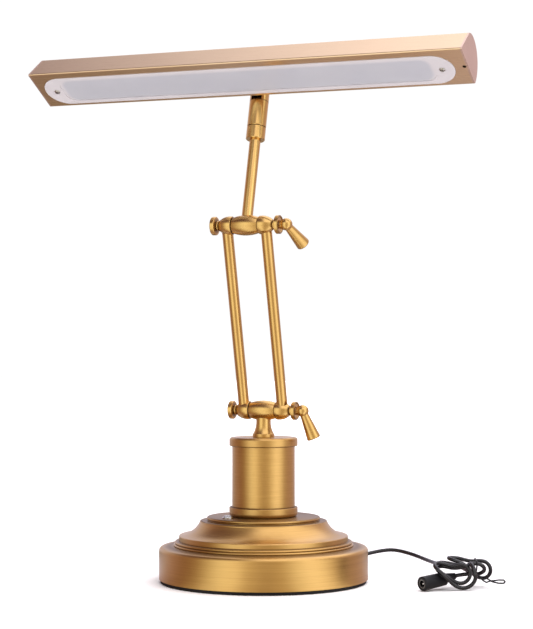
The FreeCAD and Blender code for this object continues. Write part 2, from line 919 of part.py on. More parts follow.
def head_tongue():
    """Eye and neck of the tilt joint with a foot that hugs the round back of the head."""
    half = S["tongue_thickness"] / 2
    eye = cylinder("tongue_eye", S["tongue_eye_radius"], S["tongue_thickness"],
                   Vector(-float(half), 0, 0), Rotation(Y_AXIS, 90))
    neck = doc.addObject("Part::Box", "tongue_neck")
    neck.setExpression("Length", S["tongue_thickness"].formula)
    neck.setExpression("Width", (S["tongue_reach"] + 1.0).formula)
    neck.Height = 7.6
    place(neck, Vector(-float(half), -float(S["tongue_reach"]) - 1.0, -3.8))
    foot = doc.addObject("Part::Box", "tongue_foot")
    foot.Length = 30
    foot.setExpression("Width", (S["tongue_foot"] + 1.0).formula)
    foot.Height = 8.0
    place(foot, Vector(-15, -float(S["tongue_reach"]) - 1.0, -4))
    solid = join("tongue_solid", [eye, neck, foot])
    back = cylinder("tongue_saddle", S["back_radius"], 60,
                    Vector(-30, -float(S["back_radius"] + S["tongue_reach"]), 0), Rotation(Y_AXIS, 90))
    hole = cylinder("tongue_hole", S["pin_radius"] + 0.06, 60, Vector(-30, 0, 0), Rotation(Y_AXIS, 90))
    tools = [back, hole] + [bracket_drill("tongue_drill", side, 1.55) for side in (-1, 1)]
    made = cut_away("head_tongue", solid, tools)
    return node(place(made, tilt_pin_at, tongue_turn))


def bracket_drill(name, side, radius):
    """Cylinder on the line of one bracket screw, in the tongue's own frame."""
    across = side * float(S["bracket_screw_offset"])
    return cylinder(name, radius, 14, Vector(across, -float(S["tongue_reach"]) - 8.0, 0), Rotation(X_AXIS, -90))


def bracket_screws():
    """Two pan-head screws through the tongue's foot into the back of the head."""
    face = float(S["tongue_foot"] - S["tongue_reach"])
    pieces = []
    for side in (-1, 1):
        across = side * float(S["bracket_screw_offset"])
        shank = cylinder("bracket_shank", 1.5, 8.0, Vector(across, face, 0), Rotation(X_AXIS, 90))
        head = cylinder("bracket_head", 2.6, 1.5, Vector(across, face + 1.5, 0), Rotation(X_AXIS, 90))
        rim = doc.addObject("Part::Fillet", "bracket_head_round")
        rim.Base = head
        rim.Edges = [(3, 0.7, 0.7)]
        pieces.append(join("bracket_screw", [shank, rim]))
    made = doc.addObject("Part::Compound", "bracket_screws")
    made.Links = pieces
    made.Label = "bracket_screws"
    return node(place(made, tilt_pin_at, tongue_turn))


def head_outline(made, inset):
    """Section of the head: flat face, flat front, ridge and round back, inset evenly."""
    face = S["head_face"]
    run = S["ridge_run"]
    rise = S["ridge_height"]
    slant = math.hypot(float(run), float(rise))
    lean = (float(run) + slant) / float(rise)
    radius = S["back_radius"] - inset
    ridge = ridge_corner(float(dim(inset)))
    toe = (back_centre[0] + math.sqrt(float(radius) ** 2 - (back_centre[1] - float(dim(inset))) ** 2))
    if float(dim(inset)) == 0:
        outline(made, [(0, 0), (face, 0, radius), (run, rise)])
        return
    outline(made, [(dim(inset) * lean, inset), (toe, inset, radius), ridge])


def ridge_corner(inset):
    """Where the inset front flank meets the inset round back."""
    run = float(S["ridge_run"])
    rise = float(S["ridge_height"])
    slant = math.hypot(run, rise)
    along = (run / slant, rise / slant)
    start = (inset * rise / slant, -inset * run / slant)
    gap = (start[0] - back_centre[0], start[1] - back_centre[1])
    radius = float(S["back_radius"]) - inset
    half = gap[0] * along[0] + gap[1] * along[1]
    reach = -half + math.sqrt(half * half - gap[0] ** 2 - gap[1] ** 2 + radius * radius)
    return (start[0] + reach * along[0], start[1] + reach * along[1])


shell_length = S["head_length"] - 2 * S["end_cap_thickness"]
diffuser_length = S["head_length"] - 2 * S["diffuser_end_margin"]
screw_spacing = diffuser_length - 2 * S["screw_end_margin"]


def head_shell():
    """Sheet-metal prism with open ends, a slot-shaped window and holes for the bracket screws."""
    made = body("head_shell_blank")
    section = sketch(made, "YZ_Plane")
    head_outline(section, dim(0))
    pad(made, section, shell_length, both=True)
    round_edges(made)
    hollow = sketch(made, "YZ_Plane")
    head_outline(hollow, S["head_wall"])
    pocket(made, hollow, shell_length + 2.0, both=True)
    window = sketch(made, "XY_Plane", lift=-1.0)
    half_run = (diffuser_length - S["diffuser_width"]) / 2
    slot(window, -S["diffuser_shift"], S["diffuser_centre"], half_run, S["diffuser_width"] / 2 + 0.15)
    ring(window, S["head_length"] / 2 - S["vent_inset"], S["vent_height"], S["vent_radius"])
    pocket(made, window, S["head_wall"] + 1.6, back=True)
    place(made, head_at, head_turn)
    drills = []
    for side in (-1, 1):
        drill = bracket_drill("shell_drill", side, 1.55)
        frame = Placement(tilt_pin_at, tongue_turn)
        drill.Placement = frame.multiply(drill.Placement)
        drills.append(drill)
    return node(cut_away("head_shell", made, drills))


def round_edges(owner):
    """Round the three long edges of a prism that runs along X: the front one least."""
    for at_front, radius in ((True, 1.0), (False, 1.6)):
        doc.recompute()
        grown = owner.Tip
        names = []
        for number, edge in enumerate(grown.Shape.Edges, start=1):
            start = edge.Vertexes[0].Point
            run = edge.Vertexes[-1].Point - start
            along = abs(abs(run.x) - run.Length) < 1e-4 and run.Length > 1.0
            near_front = math.hypot(start.y, start.z) < 3.0
            sharp = at_front or math.hypot(start.y, start.z) > 15.0
            if along and near_front == at_front and sharp:
                names.append("Edge%d" % number)
        rounded = owner.newObject("PartDesign::Fillet", owner.Name + "_round")
        rounded.Base = (grown, names)
        rounded.Radius = radius
    doc.recompute()


def end_cap(name, side):
    """Flat plate with the head's section."""
    made = body(name)
    section = sketch(made, "YZ_Plane", lift=side * S["head_length"] / 2)
    head_outline(section, dim(0))
    pad(made, section, S["end_cap_thickness"], back=(side > 0))
    round_edges(made)
    return node(place(made, head_at, head_turn))


def diffuser():
    """Opal cover with round ends: a raised rim round a shallow panel, and two screw holes."""
    made = body("diffuser")
    half_run = (diffuser_length - S["diffuser_width"]) / 2
    centre = S["diffuser_centre"]
    shift = -S["diffuser_shift"]
    plate = sketch(made, "XY_Plane", lift=-S["diffuser_proud"])
    slot(plate, shift, centre, half_run, S["diffuser_width"] / 2)
    pad(made, plate, S["diffuser_thickness"])
    panel = sketch(made, "XY_Plane", lift=-S["diffuser_proud"])
    rounded_box(panel, shift, centre, diffuser_length / 2 - S["screw_end_margin"] - 6.0,
                S["diffuser_width"] / 2 - 4.4, 9.0)
    pocket(made, panel, 0.35, back=True)
    holes = sketch(made, "XY_Plane", lift=-S["diffuser_proud"])
    for side in (-1, 1):
        ring(holes, shift + side * screw_spacing / 2, centre, 1.5)
    pocket(made, holes, S["diffuser_thickness"], back=True)
    return node(place(made, head_at, head_turn))


diffuser_back = S["diffuser_thickness"] - S["diffuser_proud"]


def diffuser_screws():
    """Two pan-head screws that hold the cover to the tray."""
    pieces = []
    for side in (-1, 1):
        spot_x = float(side * screw_spacing / 2 - S["diffuser_shift"])
        spot_y = float(S["diffuser_centre"])
        seat = -float(S["diffuser_proud"])
        shank = cylinder("cover_shank", 1.2, 6.4, Vector(spot_x, spot_y, seat))
        head = cylinder("cover_head", 2.6, 1.3, Vector(spot_x, spot_y, seat - 1.3))
        rim = doc.addObject("Part::Fillet", "cover_head_round")
        rim.Base = head
        rim.Edges = [(3, 0.6, 0.6)]
        pieces.append(join("cover_screw", [shank, rim]))
    made = doc.addObject("Part::Compound", "diffuser_screws")
    made.Links = pieces
    made.Label = "diffuser_screws"
    return node(place(made, head_at, head_turn))


def led_tray():
    """Aluminium plate across the head with two bosses for the cover's screws."""
    made = body("led_tray")
    depth = S["tray_depth"]
    slant = float(S["ridge_run"] / S["ridge_height"])
    front = (depth + S["tray_thickness"]) * slant + S["head_wall"] * 1.2 + 0.3
    rear = back_centre[0] + S["back_radius"] - S["head_wall"] - 0.15
    half = shell_length / 2 - 1.0
    face = sketch(made, "XY_Plane", lift=depth)
    outline(face, [(-half, front), (half, front), (half, rear), (-half, rear)])
    pad(made, face, S["tray_thickness"])
    bosses = sketch(made, "XY_Plane", lift=diffuser_back)
    for side in (-1, 1):
        ring(bosses, side * screw_spacing / 2 - S["diffuser_shift"], S["diffuser_centre"], 3.4)
    pad(made, bosses, depth - diffuser_back)
    holes = sketch(made, "XY_Plane", lift=diffuser_back)
    for side in (-1, 1):
        ring(holes, side * screw_spacing / 2 - S["diffuser_shift"], S["diffuser_centre"], 1.25)
    pocket(made, holes, depth + 1.5, back=True)
    return node(place(made, head_at, head_turn))


BOARD_THICKNESS = dim(1.6)
CHIP_HEIGHT = dim(1.4)
CHIP_COUNT = 24
CHIP_PITCH = float((screw_spacing - 24.0) / CHIP_COUNT)


def led_board():
    made = body("led_board")
    face = sketch(made, "XY_Plane", lift=S["tray_depth"] - BOARD_THICKNESS)
    half = screw_spacing / 2 - 6.0
    shift = -S["diffuser_shift"]
    centre = S["diffuser_centre"]
    outline(face, [
        (shift - half, centre - 6.0), (shift + half, centre - 6.0),
        (shift + half, centre + 6.0), (shift - half, centre + 6.0)])
    pad(made, face, BOARD_THICKNESS)
    return node(place(made, head_at, head_turn))


def led_chips():
    """A row of square chips on the board."""
    pieces = []
    low = float(S["tray_depth"] - BOARD_THICKNESS - CHIP_HEIGHT)
    for i in range(CHIP_COUNT):
        chip = doc.addObject("Part::Box", "led_chip")
        chip.Length = 5
        chip.Width = 5
        chip.setExpression("Height", CHIP_HEIGHT.formula)
        middle = (i - (CHIP_COUNT - 1) / 2) * CHIP_PITCH - float(S["diffuser_shift"])
        place(chip, Vector(middle - 2.5, float(S["diffuser_centre"]) - 2.5, low))
        pieces.append(chip)
    made = doc.addObject("Part::Compound", "led_chips")
    made.Links = pieces
    made.Label = "led_chips"
    return node(place(made, head_at, head_turn))


# ---------------------------------------------------------------- push switch
def switch_spot(lift):
    """A point on the switch's axis, above or below the plateau's top."""
    angle = math.radians(float(S["switch_angle"]))
    reach = float(S["switch_reach"])
    return Vector(reach * math.cos(angle), reach * math.sin(angle), float(plateau_height + lift))


def switch_bezel():
    """Flanged sleeve through the plateau."""
    made = body("switch_bezel")
    bore = S["button_radius"] + S["fit"]
    revolve(made, [
        (bore, -S["sleeve_length"]),
        (S["sleeve_radius"], -S["sleeve_length"]),
        (S["sleeve_radius"], 0),
        (S["bezel_radius"], 0),
        (S["bezel_radius"], S["bezel_height"] - 0.5, 0.5),
        (S["bezel_radius"] - 0.5, S["bezel_height"]),
        (bore, S["bezel_height"]),
    ])
    return node(place(made, switch_spot(0)))


def switch_nut():
    made = body("switch_nut")
    thickness = 2.2
    drop = S["foot_wall"] + 0.1 + thickness
    face = sketch(made, "XY_Plane", lift=-drop)
    hexagon(face, 2 * S["sleeve_radius"] + 3.0)
    ring(face, 0, 0, S["sleeve_radius"] + S["fit"])
    pad(made, face, thickness)
    return node(place(made, switch_spot(0)))


def switch_body():
    """Closed contact block under the sleeve, with two solder tags."""
    made = body("switch_body")
    low = S["sleeve_length"] + 12.0
    block = sketch(made, "XY_Plane", lift=-low)
    outline(block, [(-5.2, -5.2), (5.2, -5.2), (5.2, 5.2), (-5.2, 5.2)])
    pad(made, block, 12.0)
    tags = sketch(made, "XY_Plane", lift=-low - 4.0)
    for side in (-1, 1):
        outline(tags, [
            (side * 2.6 - 0.3, -1.2), (side * 2.6 + 0.3, -1.2),
            (side * 2.6 + 0.3, 1.2), (side * 2.6 - 0.3, 1.2)])
    pad(made, tags, 4.0)
    return node(place(made, switch_spot(0)))


def switch_button():
    made = body("switch_button")
    radius = S["button_radius"]
    top = S["button_stand"]
    revolve(made, [
        (0, S["button_travel"] + 0.2 - S["sleeve_length"]),
        (radius, S["button_travel"] + 0.2 - S["sleeve_length"]),
        (radius, top - 0.6, 0.6),
        (radius - 0.6, top),
        (0, top),
    ])
    return node(place(made, switch_spot(0)))


# ---------------------------------------------------------------- low-voltage lead
def spot(right, toward, height):
    """A point of the lead, measured along and across the line that the bundle lies on."""
    turned = Rotation(Z_AXIS, float(S["bundle_angle"])).multVec(Vector(right, -toward, height))
    return turned


def cord_gland():
    """Bushing in the foot's wall: lip inside, flange outside and a short nose."""
    made = body("cord_gland")
    foot = S["foot_radius"]
    flange = S["gland_radius"]
    throat = flange - 1.1
    revolve(made, [
        (foot - 4.0, 0),
        (foot - 4.0, flange - 0.4),
        (foot - S["foot_wall"] - 0.2, flange - 0.4),
        (foot - S["foot_wall"] - 0.2, throat),
        (foot, throat),
        (foot, flange),
        (foot + 1.6, flange),
        (foot + 2.2, flange - 0.6),
        (foot + 2.2, S["cord_radius"] + 1.3),
        (foot + 4.5, S["cord_radius"] + 0.6),
        (foot + 4.5, 0),
    ], axis="H_Axis")
    turn = Rotation(Z_AXIS, float(S["gland_angle"]))
    return node(place(made, Vector(0, 0, float(S["gland_height"])), turn))


gland_end = float(S["foot_radius"]) + 4.5
gland_side = math.radians(float(S["gland_angle"] - S["bundle_angle"]))
CORD_ROUTE = [
    spot(gland_end * math.cos(gland_side), -gland_end * math.sin(gland_side), float(S["gland_height"])),
    spot(99.5, -36.2, 21.6),
    spot(114.8, -36.0, 23.6),
    spot(130.5, -25.0, 20.6),
    spot(141.2, -6.0, 17.8),
    spot(146.2, 10.0, 17.2),
    spot(148.6, 26.5, 17.6),
]


def power_cord():
    """Plain round lead from the gland to the bundle: straight runs joined by tangent arcs."""
    edges = []
    radii = []
    here = CORD_ROUTE[0]
    for before, corner, after in zip(CORD_ROUTE, CORD_ROUTE[1:], CORD_ROUTE[2:]):
        run_in = before - corner
        run_out = after - corner
        half_turn = (math.pi - run_in.getAngle(run_out)) / 2
        radius = 0.45 * min(run_in.Length, run_out.Length) / math.tan(half_turn)
        radii.append(radius)
        setback = radius * math.tan(half_turn)
        way_in = Vector(run_in).normalize()
        way_out = Vector(run_out).normalize()
        start = corner + way_in * setback
        end = corner + way_out * setback
        bisector = (way_in + way_out).normalize()
        middle = corner + bisector * (radius / math.cos(half_turn) - radius)
        edges.append(Part.LineSegment(here, start).toShape())
        edges.append(Part.Arc(start, middle, end).toShape())
        here = end
    edges.append(Part.LineSegment(here, CORD_ROUTE[-1]).toShape())
    path = Part.Wire(edges)
    heading = CORD_ROUTE[1] - CORD_ROUTE[0]
    section = Part.Wire([Part.Circle(CORD_ROUTE[0], heading, float(S["cord_radius"])).toShape()])
    swept = path.makePipeShell([section], True, True)
    expected = math.pi * float(S["cord_radius"]) ** 2 * path.Length
    print("cord radii", [round(r, 1) for r in radii], "length", round(path.Length, 1),
          "volume ratio", round(swept.Volume / expected, 4))
    made = doc.addObject("Part::Feature", "power_cord")
    made.Shape = swept
    made.Label = "power_cord"
    return node(made)


jack_at = spot(131.0, 63.2, float(S["jack_radius"]) + 0.15)
jack_way = spot(0.79, -0.60, 0.10).normalize()
jack_turn = Rotation(X_AXIS, jack_way)
relief_end = float(S["jack_length"] + S["relief_length"])


def jack_body():
    """In-line socket: plain barrel with a well in its face."""
    made = body("jack_body")
    radius = S["jack_radius"]
    length = S["jack_length"]
    revolve(made, [
        (10.0, 0),
        (length, 0),
        (length, radius - 1.6),
        (length - 1.2, radius - 0.5),
        (0.8, radius),
        (0, radius - 0.8),
        (0, 4.0),
        (10.0, 4.0),
    ], axis="H_Axis")
    return node(place(made, jack_at, jack_turn))


def jack_sleeve():
    made = body("jack_sleeve")
    revolve(made, [(0.4, 2.9), (0.4, 3.95), (10.0, 3.95), (10.0, 2.9)], axis="H_Axis")
    return node(place(made, jack_at, jack_turn))


def jack_pin():
    made = body("jack_pin")
    revolve(made, [(1.2, 0), (1.2, 0.6), (1.6, 1.0), (10.0, 1.0), (10.0, 0)], axis="H_Axis")
    return node(place(made, jack_at, jack_turn))


def jack_relief():
    """Ribbed rubber boot behind the socket."""
    made = body("jack_relief")
    start = S["jack_length"]
    ribs = 5
    pitch = S["relief_length"] / ribs
    corners = [(start, 0)]
    for i in range(ribs):
        low = start + pitch * i
        radius = dim(4.2 - 0.35 * i)
        corners.append((low, radius))
        corners.append((low + pitch * 0.55, radius))
        corners.append((low + pitch * 0.55, radius - 0.7))
        corners.append((low + pitch * 1.0, radius - 0.7))
    corners.append((start + S["relief_length"], 0))
    revolve(made, corners, axis="H_Axis")
    return node(place(made, jack_at, jack_turn))


HANK_START = 143.5
HANK_FRONT = 57.0
HANK_FLOOR = 0.3
TIE_AT = 33.5
TIE_WIDTH = 3.6


def hank_lobe(name, start, end, front, back, low, high, rim):
    """Folded turns on one side of the tie: round-ended block with soft rims, in the bundle's own frame."""
    block = doc.addObject("Part::Box", name)
    block.Length = end - start
    block.Width = front - back
    block.Height = high - low
    place(block, Vector(start, -front, low))
    doc.recompute()
    ends = doc.addObject("Part::Fillet", name + "_ends")
    ends.Base = block
    bend = min(end - start, high - low) / 2 - 0.2
    ends.Edges = [(number, bend, bend) for number, edge in enumerate(block.Shape.Edges, start=1)
                  if abs(edge.tangentAt(edge.FirstParameter).y) > 0.9]
    doc.recompute()
    soft = doc.addObject("Part::Fillet", name + "_soft")
    soft.Base = ends
    soft.Edges = [(number, rim, rim) for number, edge in enumerate(ends.Shape.Edges, start=1)
                  if edge.BoundBox.YLength < 0.01]
    return soft


def cord_hank():
    """Outer shape of the tied bundle: two lobes and a waist, with a channel for the socket's boot."""
    end = HANK_START + float(S["hank_length"])
    back = HANK_FRONT - float(S["hank_depth"])
    top = HANK_FLOOR + float(S["hank_height"])
    waist = HANK_START + TIE_AT
    lobe = hank_lobe("hank_lobe", HANK_START, waist, HANK_FRONT, back, HANK_FLOOR, top, 5.0)
    tail = hank_lobe("hank_tail", waist + TIE_WIDTH, end, HANK_FRONT - 8, back + 5, HANK_FLOOR + 3, top - 1.5, 4.0)
    neck = doc.addObject("Part::Box", "hank_neck")
    neck.Length = 19
    neck.Width = float(S["hank_depth"]) - 16
    neck.Height = float(S["hank_height"]) - 11
    place(neck, Vector(waist - 7, 8 - HANK_FRONT, HANK_FLOOR + 5.5))
    solid = join("hank_solid", [lobe, tail, neck])
    place(solid, Vector(0, 0, 0), Rotation(Z_AXIS, float(S["bundle_angle"])))
    body_room = cylinder("hank_body_room", S["jack_radius"] + 0.3, S["jack_length"] + 0.2, jack_at,
                         jack_turn.multiply(Rotation(Y_AXIS, 90)))
    boot_at = jack_at + jack_way * float(S["jack_length"])
    boot_room = cylinder("hank_boot_room", 4.5, S["relief_length"], boot_at,
                         jack_turn.multiply(Rotation(Y_AXIS, 90)))
    return node(cut_away("cord_hank", solid, [body_room, boot_room]))


def twist_tie():
    """Wire tie: a band round the bundle's waist and a twisted tail that lies beside it."""
    waist = HANK_START + TIE_AT
    low = HANK_FLOOR + 5.5
    high = low + float(S["hank_height"]) - 11
    front = HANK_FRONT - 8
    back = front - (float(S["hank_depth"]) - 16)
    outer = doc.addObject("Part::Box", "tie_outer")
    outer.Length = 2.4
    outer.Width = front - back + 2.4
    outer.Height = high - low + 2.4
    place(outer, Vector(waist + 0.6, -front - 1.2, low - 1.2))
    inner = doc.addObject("Part::Box", "tie_inner")
    inner.Length = 8
    inner.Width = front - back + 0.2
    inner.Height = high - low + 0.2
    place(inner, Vector(waist - 2, -front - 0.1, low - 0.1))
    band = cut_away("tie_band", outer, [inner])
    tail = doc.addObject("Part::Box", "tie_tail")
    tail.Length = 26
    tail.Width = 2.2
    tail.Height = 1.2
    place(tail, Vector(waist + 1.0, -front - 3.2, low - 1.2))
    made = join("twist_tie", [band, tail])
    return node(place(made, Vector(0, 0, 0), Rotation(Z_AXIS, float(S["bundle_angle"]))))


# ---------------------------------------------------------------- build
base_shell()
base_weight()
base_pad()
drum_collar()
drum_tube()
drum_cap()
tie_rod()
tie_rod_nut()
stem()
lower_barrel()
for level, hinge, turn in (
        ("lower", lower_hinge, arm_turn),
        ("upper", upper_hinge, arm_turn.multiply(Rotation(X_AXIS, 180)))):
    cup(level + "_left_cup", -1, hinge, turn)
    cup(level + "_right_cup", 1, hinge, turn)
    disc(level + "_left_disc", -1, hinge, turn)
    disc(level + "_right_disc", 1, hinge, turn)
    bolt(level + "_bolt", hinge, turn)
    lever(level + "_lever", hinge, S[level + "_lever_turn"])
arm_tube("left_arm_tube", -1)
arm_tube("right_arm_tube", 1)
upper_barrel()
upper_rod()
swivel_collar()
swivel_screw()
swivel_fork()
tilt_pin()
head_tongue()
bracket_screws()
head_shell()
end_cap("left_end_cap", -1)
end_cap("right_end_cap", 1)
diffuser()
diffuser_screws()
led_tray()
led_board()
led_chips()
switch_bezel()
switch_nut()
switch_body()
switch_button()
cord_gland()
power_cord()
jack_body()
jack_sleeve()
jack_pin()
jack_relief()
cord_hank()
twist_tie()
doc.recompute()

for made in doc.Objects:
    if "Invalid" in made.State or "Error" in made.State:
        raise RuntimeError("%s failed: %s" % (made.Label, made.State))
os.makedirs("parts", exist_ok=True)
for made in NODES:
    shape = made.Shape
    if shape.isNull() or not shape.isValid() or not shape.Solids:
        raise RuntimeError("%s has no valid solid" % made.Label)
    shape.exportStep("parts/%s.step" % made.Label)
    print("%-18s solids %2d  volume %10.1f" % (made.Label, len(shape.Solids), shape.Volume))
print("hinges", lower_hinge, upper_hinge, "pin", tilt_pin_at, "head", head_at)
print(len(NODES), "nodes")
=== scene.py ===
# %% [markdown]
# # A brass piano lamp, dressed in Blender
#
# The lamp comes from the workshop as a fixed model: a stepped round foot, a short drum, two clamp hinges,
# twin swing arms, a single rod and a long prism-shaped head with an LED panel. Its shapes and its joints
# are settled. What is left for Blender is what the eye reads as *brass*, *rubber* or *opal plastic*, the
# soft lead with its tied bundle, and the smallest hardware, such as the crosses in the screws.
#
# The lesson goes from the room to the object: camera, floor, lights, then one finish at a time, then the
# pieces that are modelled here.

import json
import math

import bmesh
import bpy
from mathutils import Matrix, Vector


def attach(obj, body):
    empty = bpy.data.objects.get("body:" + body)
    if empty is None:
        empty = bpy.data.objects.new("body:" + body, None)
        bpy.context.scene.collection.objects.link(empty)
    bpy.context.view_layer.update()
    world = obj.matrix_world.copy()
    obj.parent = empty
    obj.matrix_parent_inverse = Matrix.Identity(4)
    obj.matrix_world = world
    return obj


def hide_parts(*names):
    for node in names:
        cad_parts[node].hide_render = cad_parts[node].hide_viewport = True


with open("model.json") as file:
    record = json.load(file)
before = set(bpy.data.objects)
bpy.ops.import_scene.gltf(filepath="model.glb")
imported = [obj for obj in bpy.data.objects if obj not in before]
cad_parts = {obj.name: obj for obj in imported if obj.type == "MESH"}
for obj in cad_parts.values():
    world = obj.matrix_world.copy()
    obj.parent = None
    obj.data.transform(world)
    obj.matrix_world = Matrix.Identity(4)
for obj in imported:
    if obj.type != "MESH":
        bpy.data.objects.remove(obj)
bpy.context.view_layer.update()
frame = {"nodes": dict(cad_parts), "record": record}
NODES = frame["nodes"]
MM = 0.001
print("pieces from the workshop:", len(NODES))

# %% [markdown]
# ## The camera
#
# A product view of a tall lamp is taken from far away with a long lens, so that upright edges stay upright
# and the round foot shows as a thin ellipse. The camera stands about 1.55 m from the lamp, 209 mm above the
# table, and looks level. A level camera keeps the stem straight. Tilting it down would make the sides lean,
# so the lens is shifted instead, the way a view camera does it. The focal length and the shifts are counted
# in the frame's own dots, of which it is 629 high.

# %% Place the camera
VIEW_TURN = math.radians(21.9)
VIEW_DISTANCE = 1.55285
EYE_HEIGHT = 0.20884
TOWARDS_CAMERA = (math.sin(VIEW_TURN), -math.cos(VIEW_TURN), 0)
CAMERAS_RIGHT = (math.cos(VIEW_TURN), math.sin(VIEW_TURN), 0)
FRAME_HEIGHT = 629
FOCAL_LENGTH = 1800
SHIFT_ASIDE, SHIFT_UP = 3.0, 24.8
SENSOR = 36
FARTHEST_SEEN = 50


def add_object(name, data):
    """A new object in the scene."""
    thing = bpy.data.objects.new(name, data)
    bpy.context.scene.collection.objects.link(thing)
    return thing


lens_body = bpy.data.cameras.new("studio_camera")
lens_body.lens = FOCAL_LENGTH / FRAME_HEIGHT * SENSOR
lens_body.sensor_width = SENSOR
lens_body.shift_x = SHIFT_ASIDE / FRAME_HEIGHT
lens_body.shift_y = SHIFT_UP / FRAME_HEIGHT
lens_body.clip_end = FARTHEST_SEEN
camera = add_object("studio_camera", lens_body)
camera.location = (VIEW_DISTANCE * TOWARDS_CAMERA[0], VIEW_DISTANCE * TOWARDS_CAMERA[1], EYE_HEIGHT)
camera.rotation_euler = (math.pi / 2, 0, VIEW_TURN)
bpy.context.scene.camera = camera
print("lens in mm:", round(lens_body.lens, 1))

# %% [markdown]
# ## Small helpers for shaders
#
# Every finish below is a tree of shader nodes. Most steps are the same few: make a node, give its inputs
# their values, calculate with numbers or vectors, and move a value from one range to another.

# %% Shader helpers
def add_node(tree, kind, **settings):
    """One node of a kind, with its settings."""
    node = tree.nodes.new("ShaderNode" + kind)
    for name, value in settings.items():
        setattr(node, name, value)
    return node


def wire(tree, source, target):
    """Gives an input its value: another node's output, or a plain number, colour or vector."""
    if isinstance(source, bpy.types.NodeSocket):
        tree.links.new(source, target)
    else:
        target.default_value = source


def fill(tree, node, values):
    """Gives several of a node's inputs their values, by name."""
    for name, value in values.items():
        wire(tree, value, node.inputs[name])


def calculate(tree, operation, *values):
    """The result of a calculation with numbers."""
    node = add_node(tree, "Math", operation=operation)
    for value, target in zip(values, node.inputs):
        wire(tree, value, target)
    return node.outputs["Value"]


def calculate_vector(tree, operation, *vectors):
    """The result of a calculation with vectors: a number for a length or a product, else a vector."""
    node = add_node(tree, "VectorMath", operation=operation)
    for value, target in zip(vectors, node.inputs):
        wire(tree, value, target)
    return node.outputs["Value" if operation in ("DOT_PRODUCT", "LENGTH") else "Vector"]


def map_range(tree, value, start, end, at_start=0.0, at_end=1.0, interpolation="SMOOTHSTEP"):
    """Goes from one level to another while a value goes from start to end."""
    moved = add_node(tree, "MapRange", interpolation_type=interpolation)
    fill(tree, moved, {"Value": value, "From Min": start, "From Max": end, "To Min": at_start,
                       "To Max": at_end})
    return moved.outputs["Result"]


print("shader helpers ready")

# %% [markdown]
# ## A painted backdrop for the metal to mirror
#
# Metal shows its surroundings more than its own colour. A photographer stands white and grey cards all round
# a brass lamp, so that each round part carries two bright bands with a darker middle and dark flanks. Here
# one ring of tones does the work of those cards. It is a colour ramp read by compass direction in degrees: 0
# is the camera's side and the middle of the ramp, 90 is to the camera's right, and 180 either way is straight
# behind the lamp. The same ring tints the room and the table's mirror image, so the bands run through from
# the foot to the rod.

# %% Tones round the lamp
RING_TONES = [
    (-180, (0.80, 0.75, 0.88)), (-144, (0.77, 0.71, 0.80)), (-116, (0.59, 0.42, 0.44)),
    (-96, (0.41, 0.26, 0.21)), (-78, (0.46, 0.31, 0.22)), (-62, (0.92, 0.87, 0.70)),
    (-46, (1.58, 1.67, 1.58)), (-30, (1.62, 1.64, 1.50)), (-14, (0.93, 0.84, 0.66)),
    (2, (0.68, 0.58, 0.44)), (18, (0.80, 0.69, 0.50)), (34, (1.36, 1.38, 1.28)),
    (50, (1.86, 1.90, 1.92)), (66, (1.62, 1.64, 1.56)), (82, (0.71, 0.61, 0.52)),
    (100, (0.60, 0.46, 0.47)), (124, (0.70, 0.53, 0.54)), (150, (0.77, 0.68, 0.74)),
    (180, (0.80, 0.75, 0.88)),
]
RING_STRENGTH = 3.2


def tones_by_compass(tree, direction, squeeze=1.0):
    """The ring's tone for a direction in the lamp's frame, divided by the ring's strength."""
    compass = calculate(tree, "ARCTAN2", calculate_vector(tree, "DOT_PRODUCT", direction, CAMERAS_RIGHT),
                        calculate_vector(tree, "DOT_PRODUCT", direction, TOWARDS_CAMERA))
    ring = add_node(tree, "ValToRGB")
    ring.color_ramp.interpolation = "EASE"
    stops = ring.color_ramp.elements
    while len(stops) < len(RING_TONES):
        stops.new(0.5)
    for stop, (degrees, tone) in zip(stops, RING_TONES):
        stop.position = (degrees + 180) / 360
        stop.color = (*[part / RING_STRENGTH for part in tone], 1)
    wire(tree, map_range(tree, calculate(tree, "MULTIPLY", compass, squeeze), -math.pi, math.pi,
                         interpolation="LINEAR"), ring.inputs["Fac"])
    return ring.outputs["Color"]


print("tones round the lamp:", len(RING_TONES))

# %% [markdown]
# ## A material, a mix and a noise
#
# Every material starts with a Principled shader that is wired to the output. A Mix node keeps separate
# sockets for numbers, vectors and colours, so the colour ones are named by their place. Noise draws what is
# never quite even: the table's mottle, the grain of plastic and the hairlines of brushed metal.

# %% Material helpers
MIX_AMOUNT, MIX_FIRST, MIX_SECOND, MIX_RESULT = 0, 6, 7, 2


def new_material(name):
    """An empty material and its node tree, with a Principled shader wired to the output."""
    material = bpy.data.materials.new(name)
    material.use_nodes = True
    tree = material.node_tree
    tree.nodes.clear()
    output = tree.nodes.new("ShaderNodeOutputMaterial")
    shader = tree.nodes.new("ShaderNodeBsdfPrincipled")
    tree.links.new(shader.outputs["BSDF"], output.inputs["Surface"])
    return material, tree, shader


def mix_colours(tree, amount, first, second, blend_type="MIX"):
    """Two colours mixed; each may be a socket or a plain colour."""
    mix = add_node(tree, "Mix", data_type="RGBA", blend_type=blend_type)
    wire(tree, amount, mix.inputs[MIX_AMOUNT])
    for value, place in ((first, MIX_FIRST), (second, MIX_SECOND)):
        wire(tree, value if isinstance(value, bpy.types.NodeSocket) else (*value, 1), mix.inputs[place])
    return mix.outputs[MIX_RESULT]


def noise(tree, point, scale=1.0, detail=3.0, roughness=0.5, fourth=None):
    """A cloudy pattern read at a point, which may have a fourth coordinate."""
    node = add_node(tree, "TexNoise", noise_dimensions="3D" if fourth is None else "4D")
    fill(tree, node, {"Vector": point, "Scale": scale, "Detail": detail, "Roughness": roughness})
    if fourth is not None:
        wire(tree, fourth, node.inputs["W"])
    return node.outputs["Fac"]


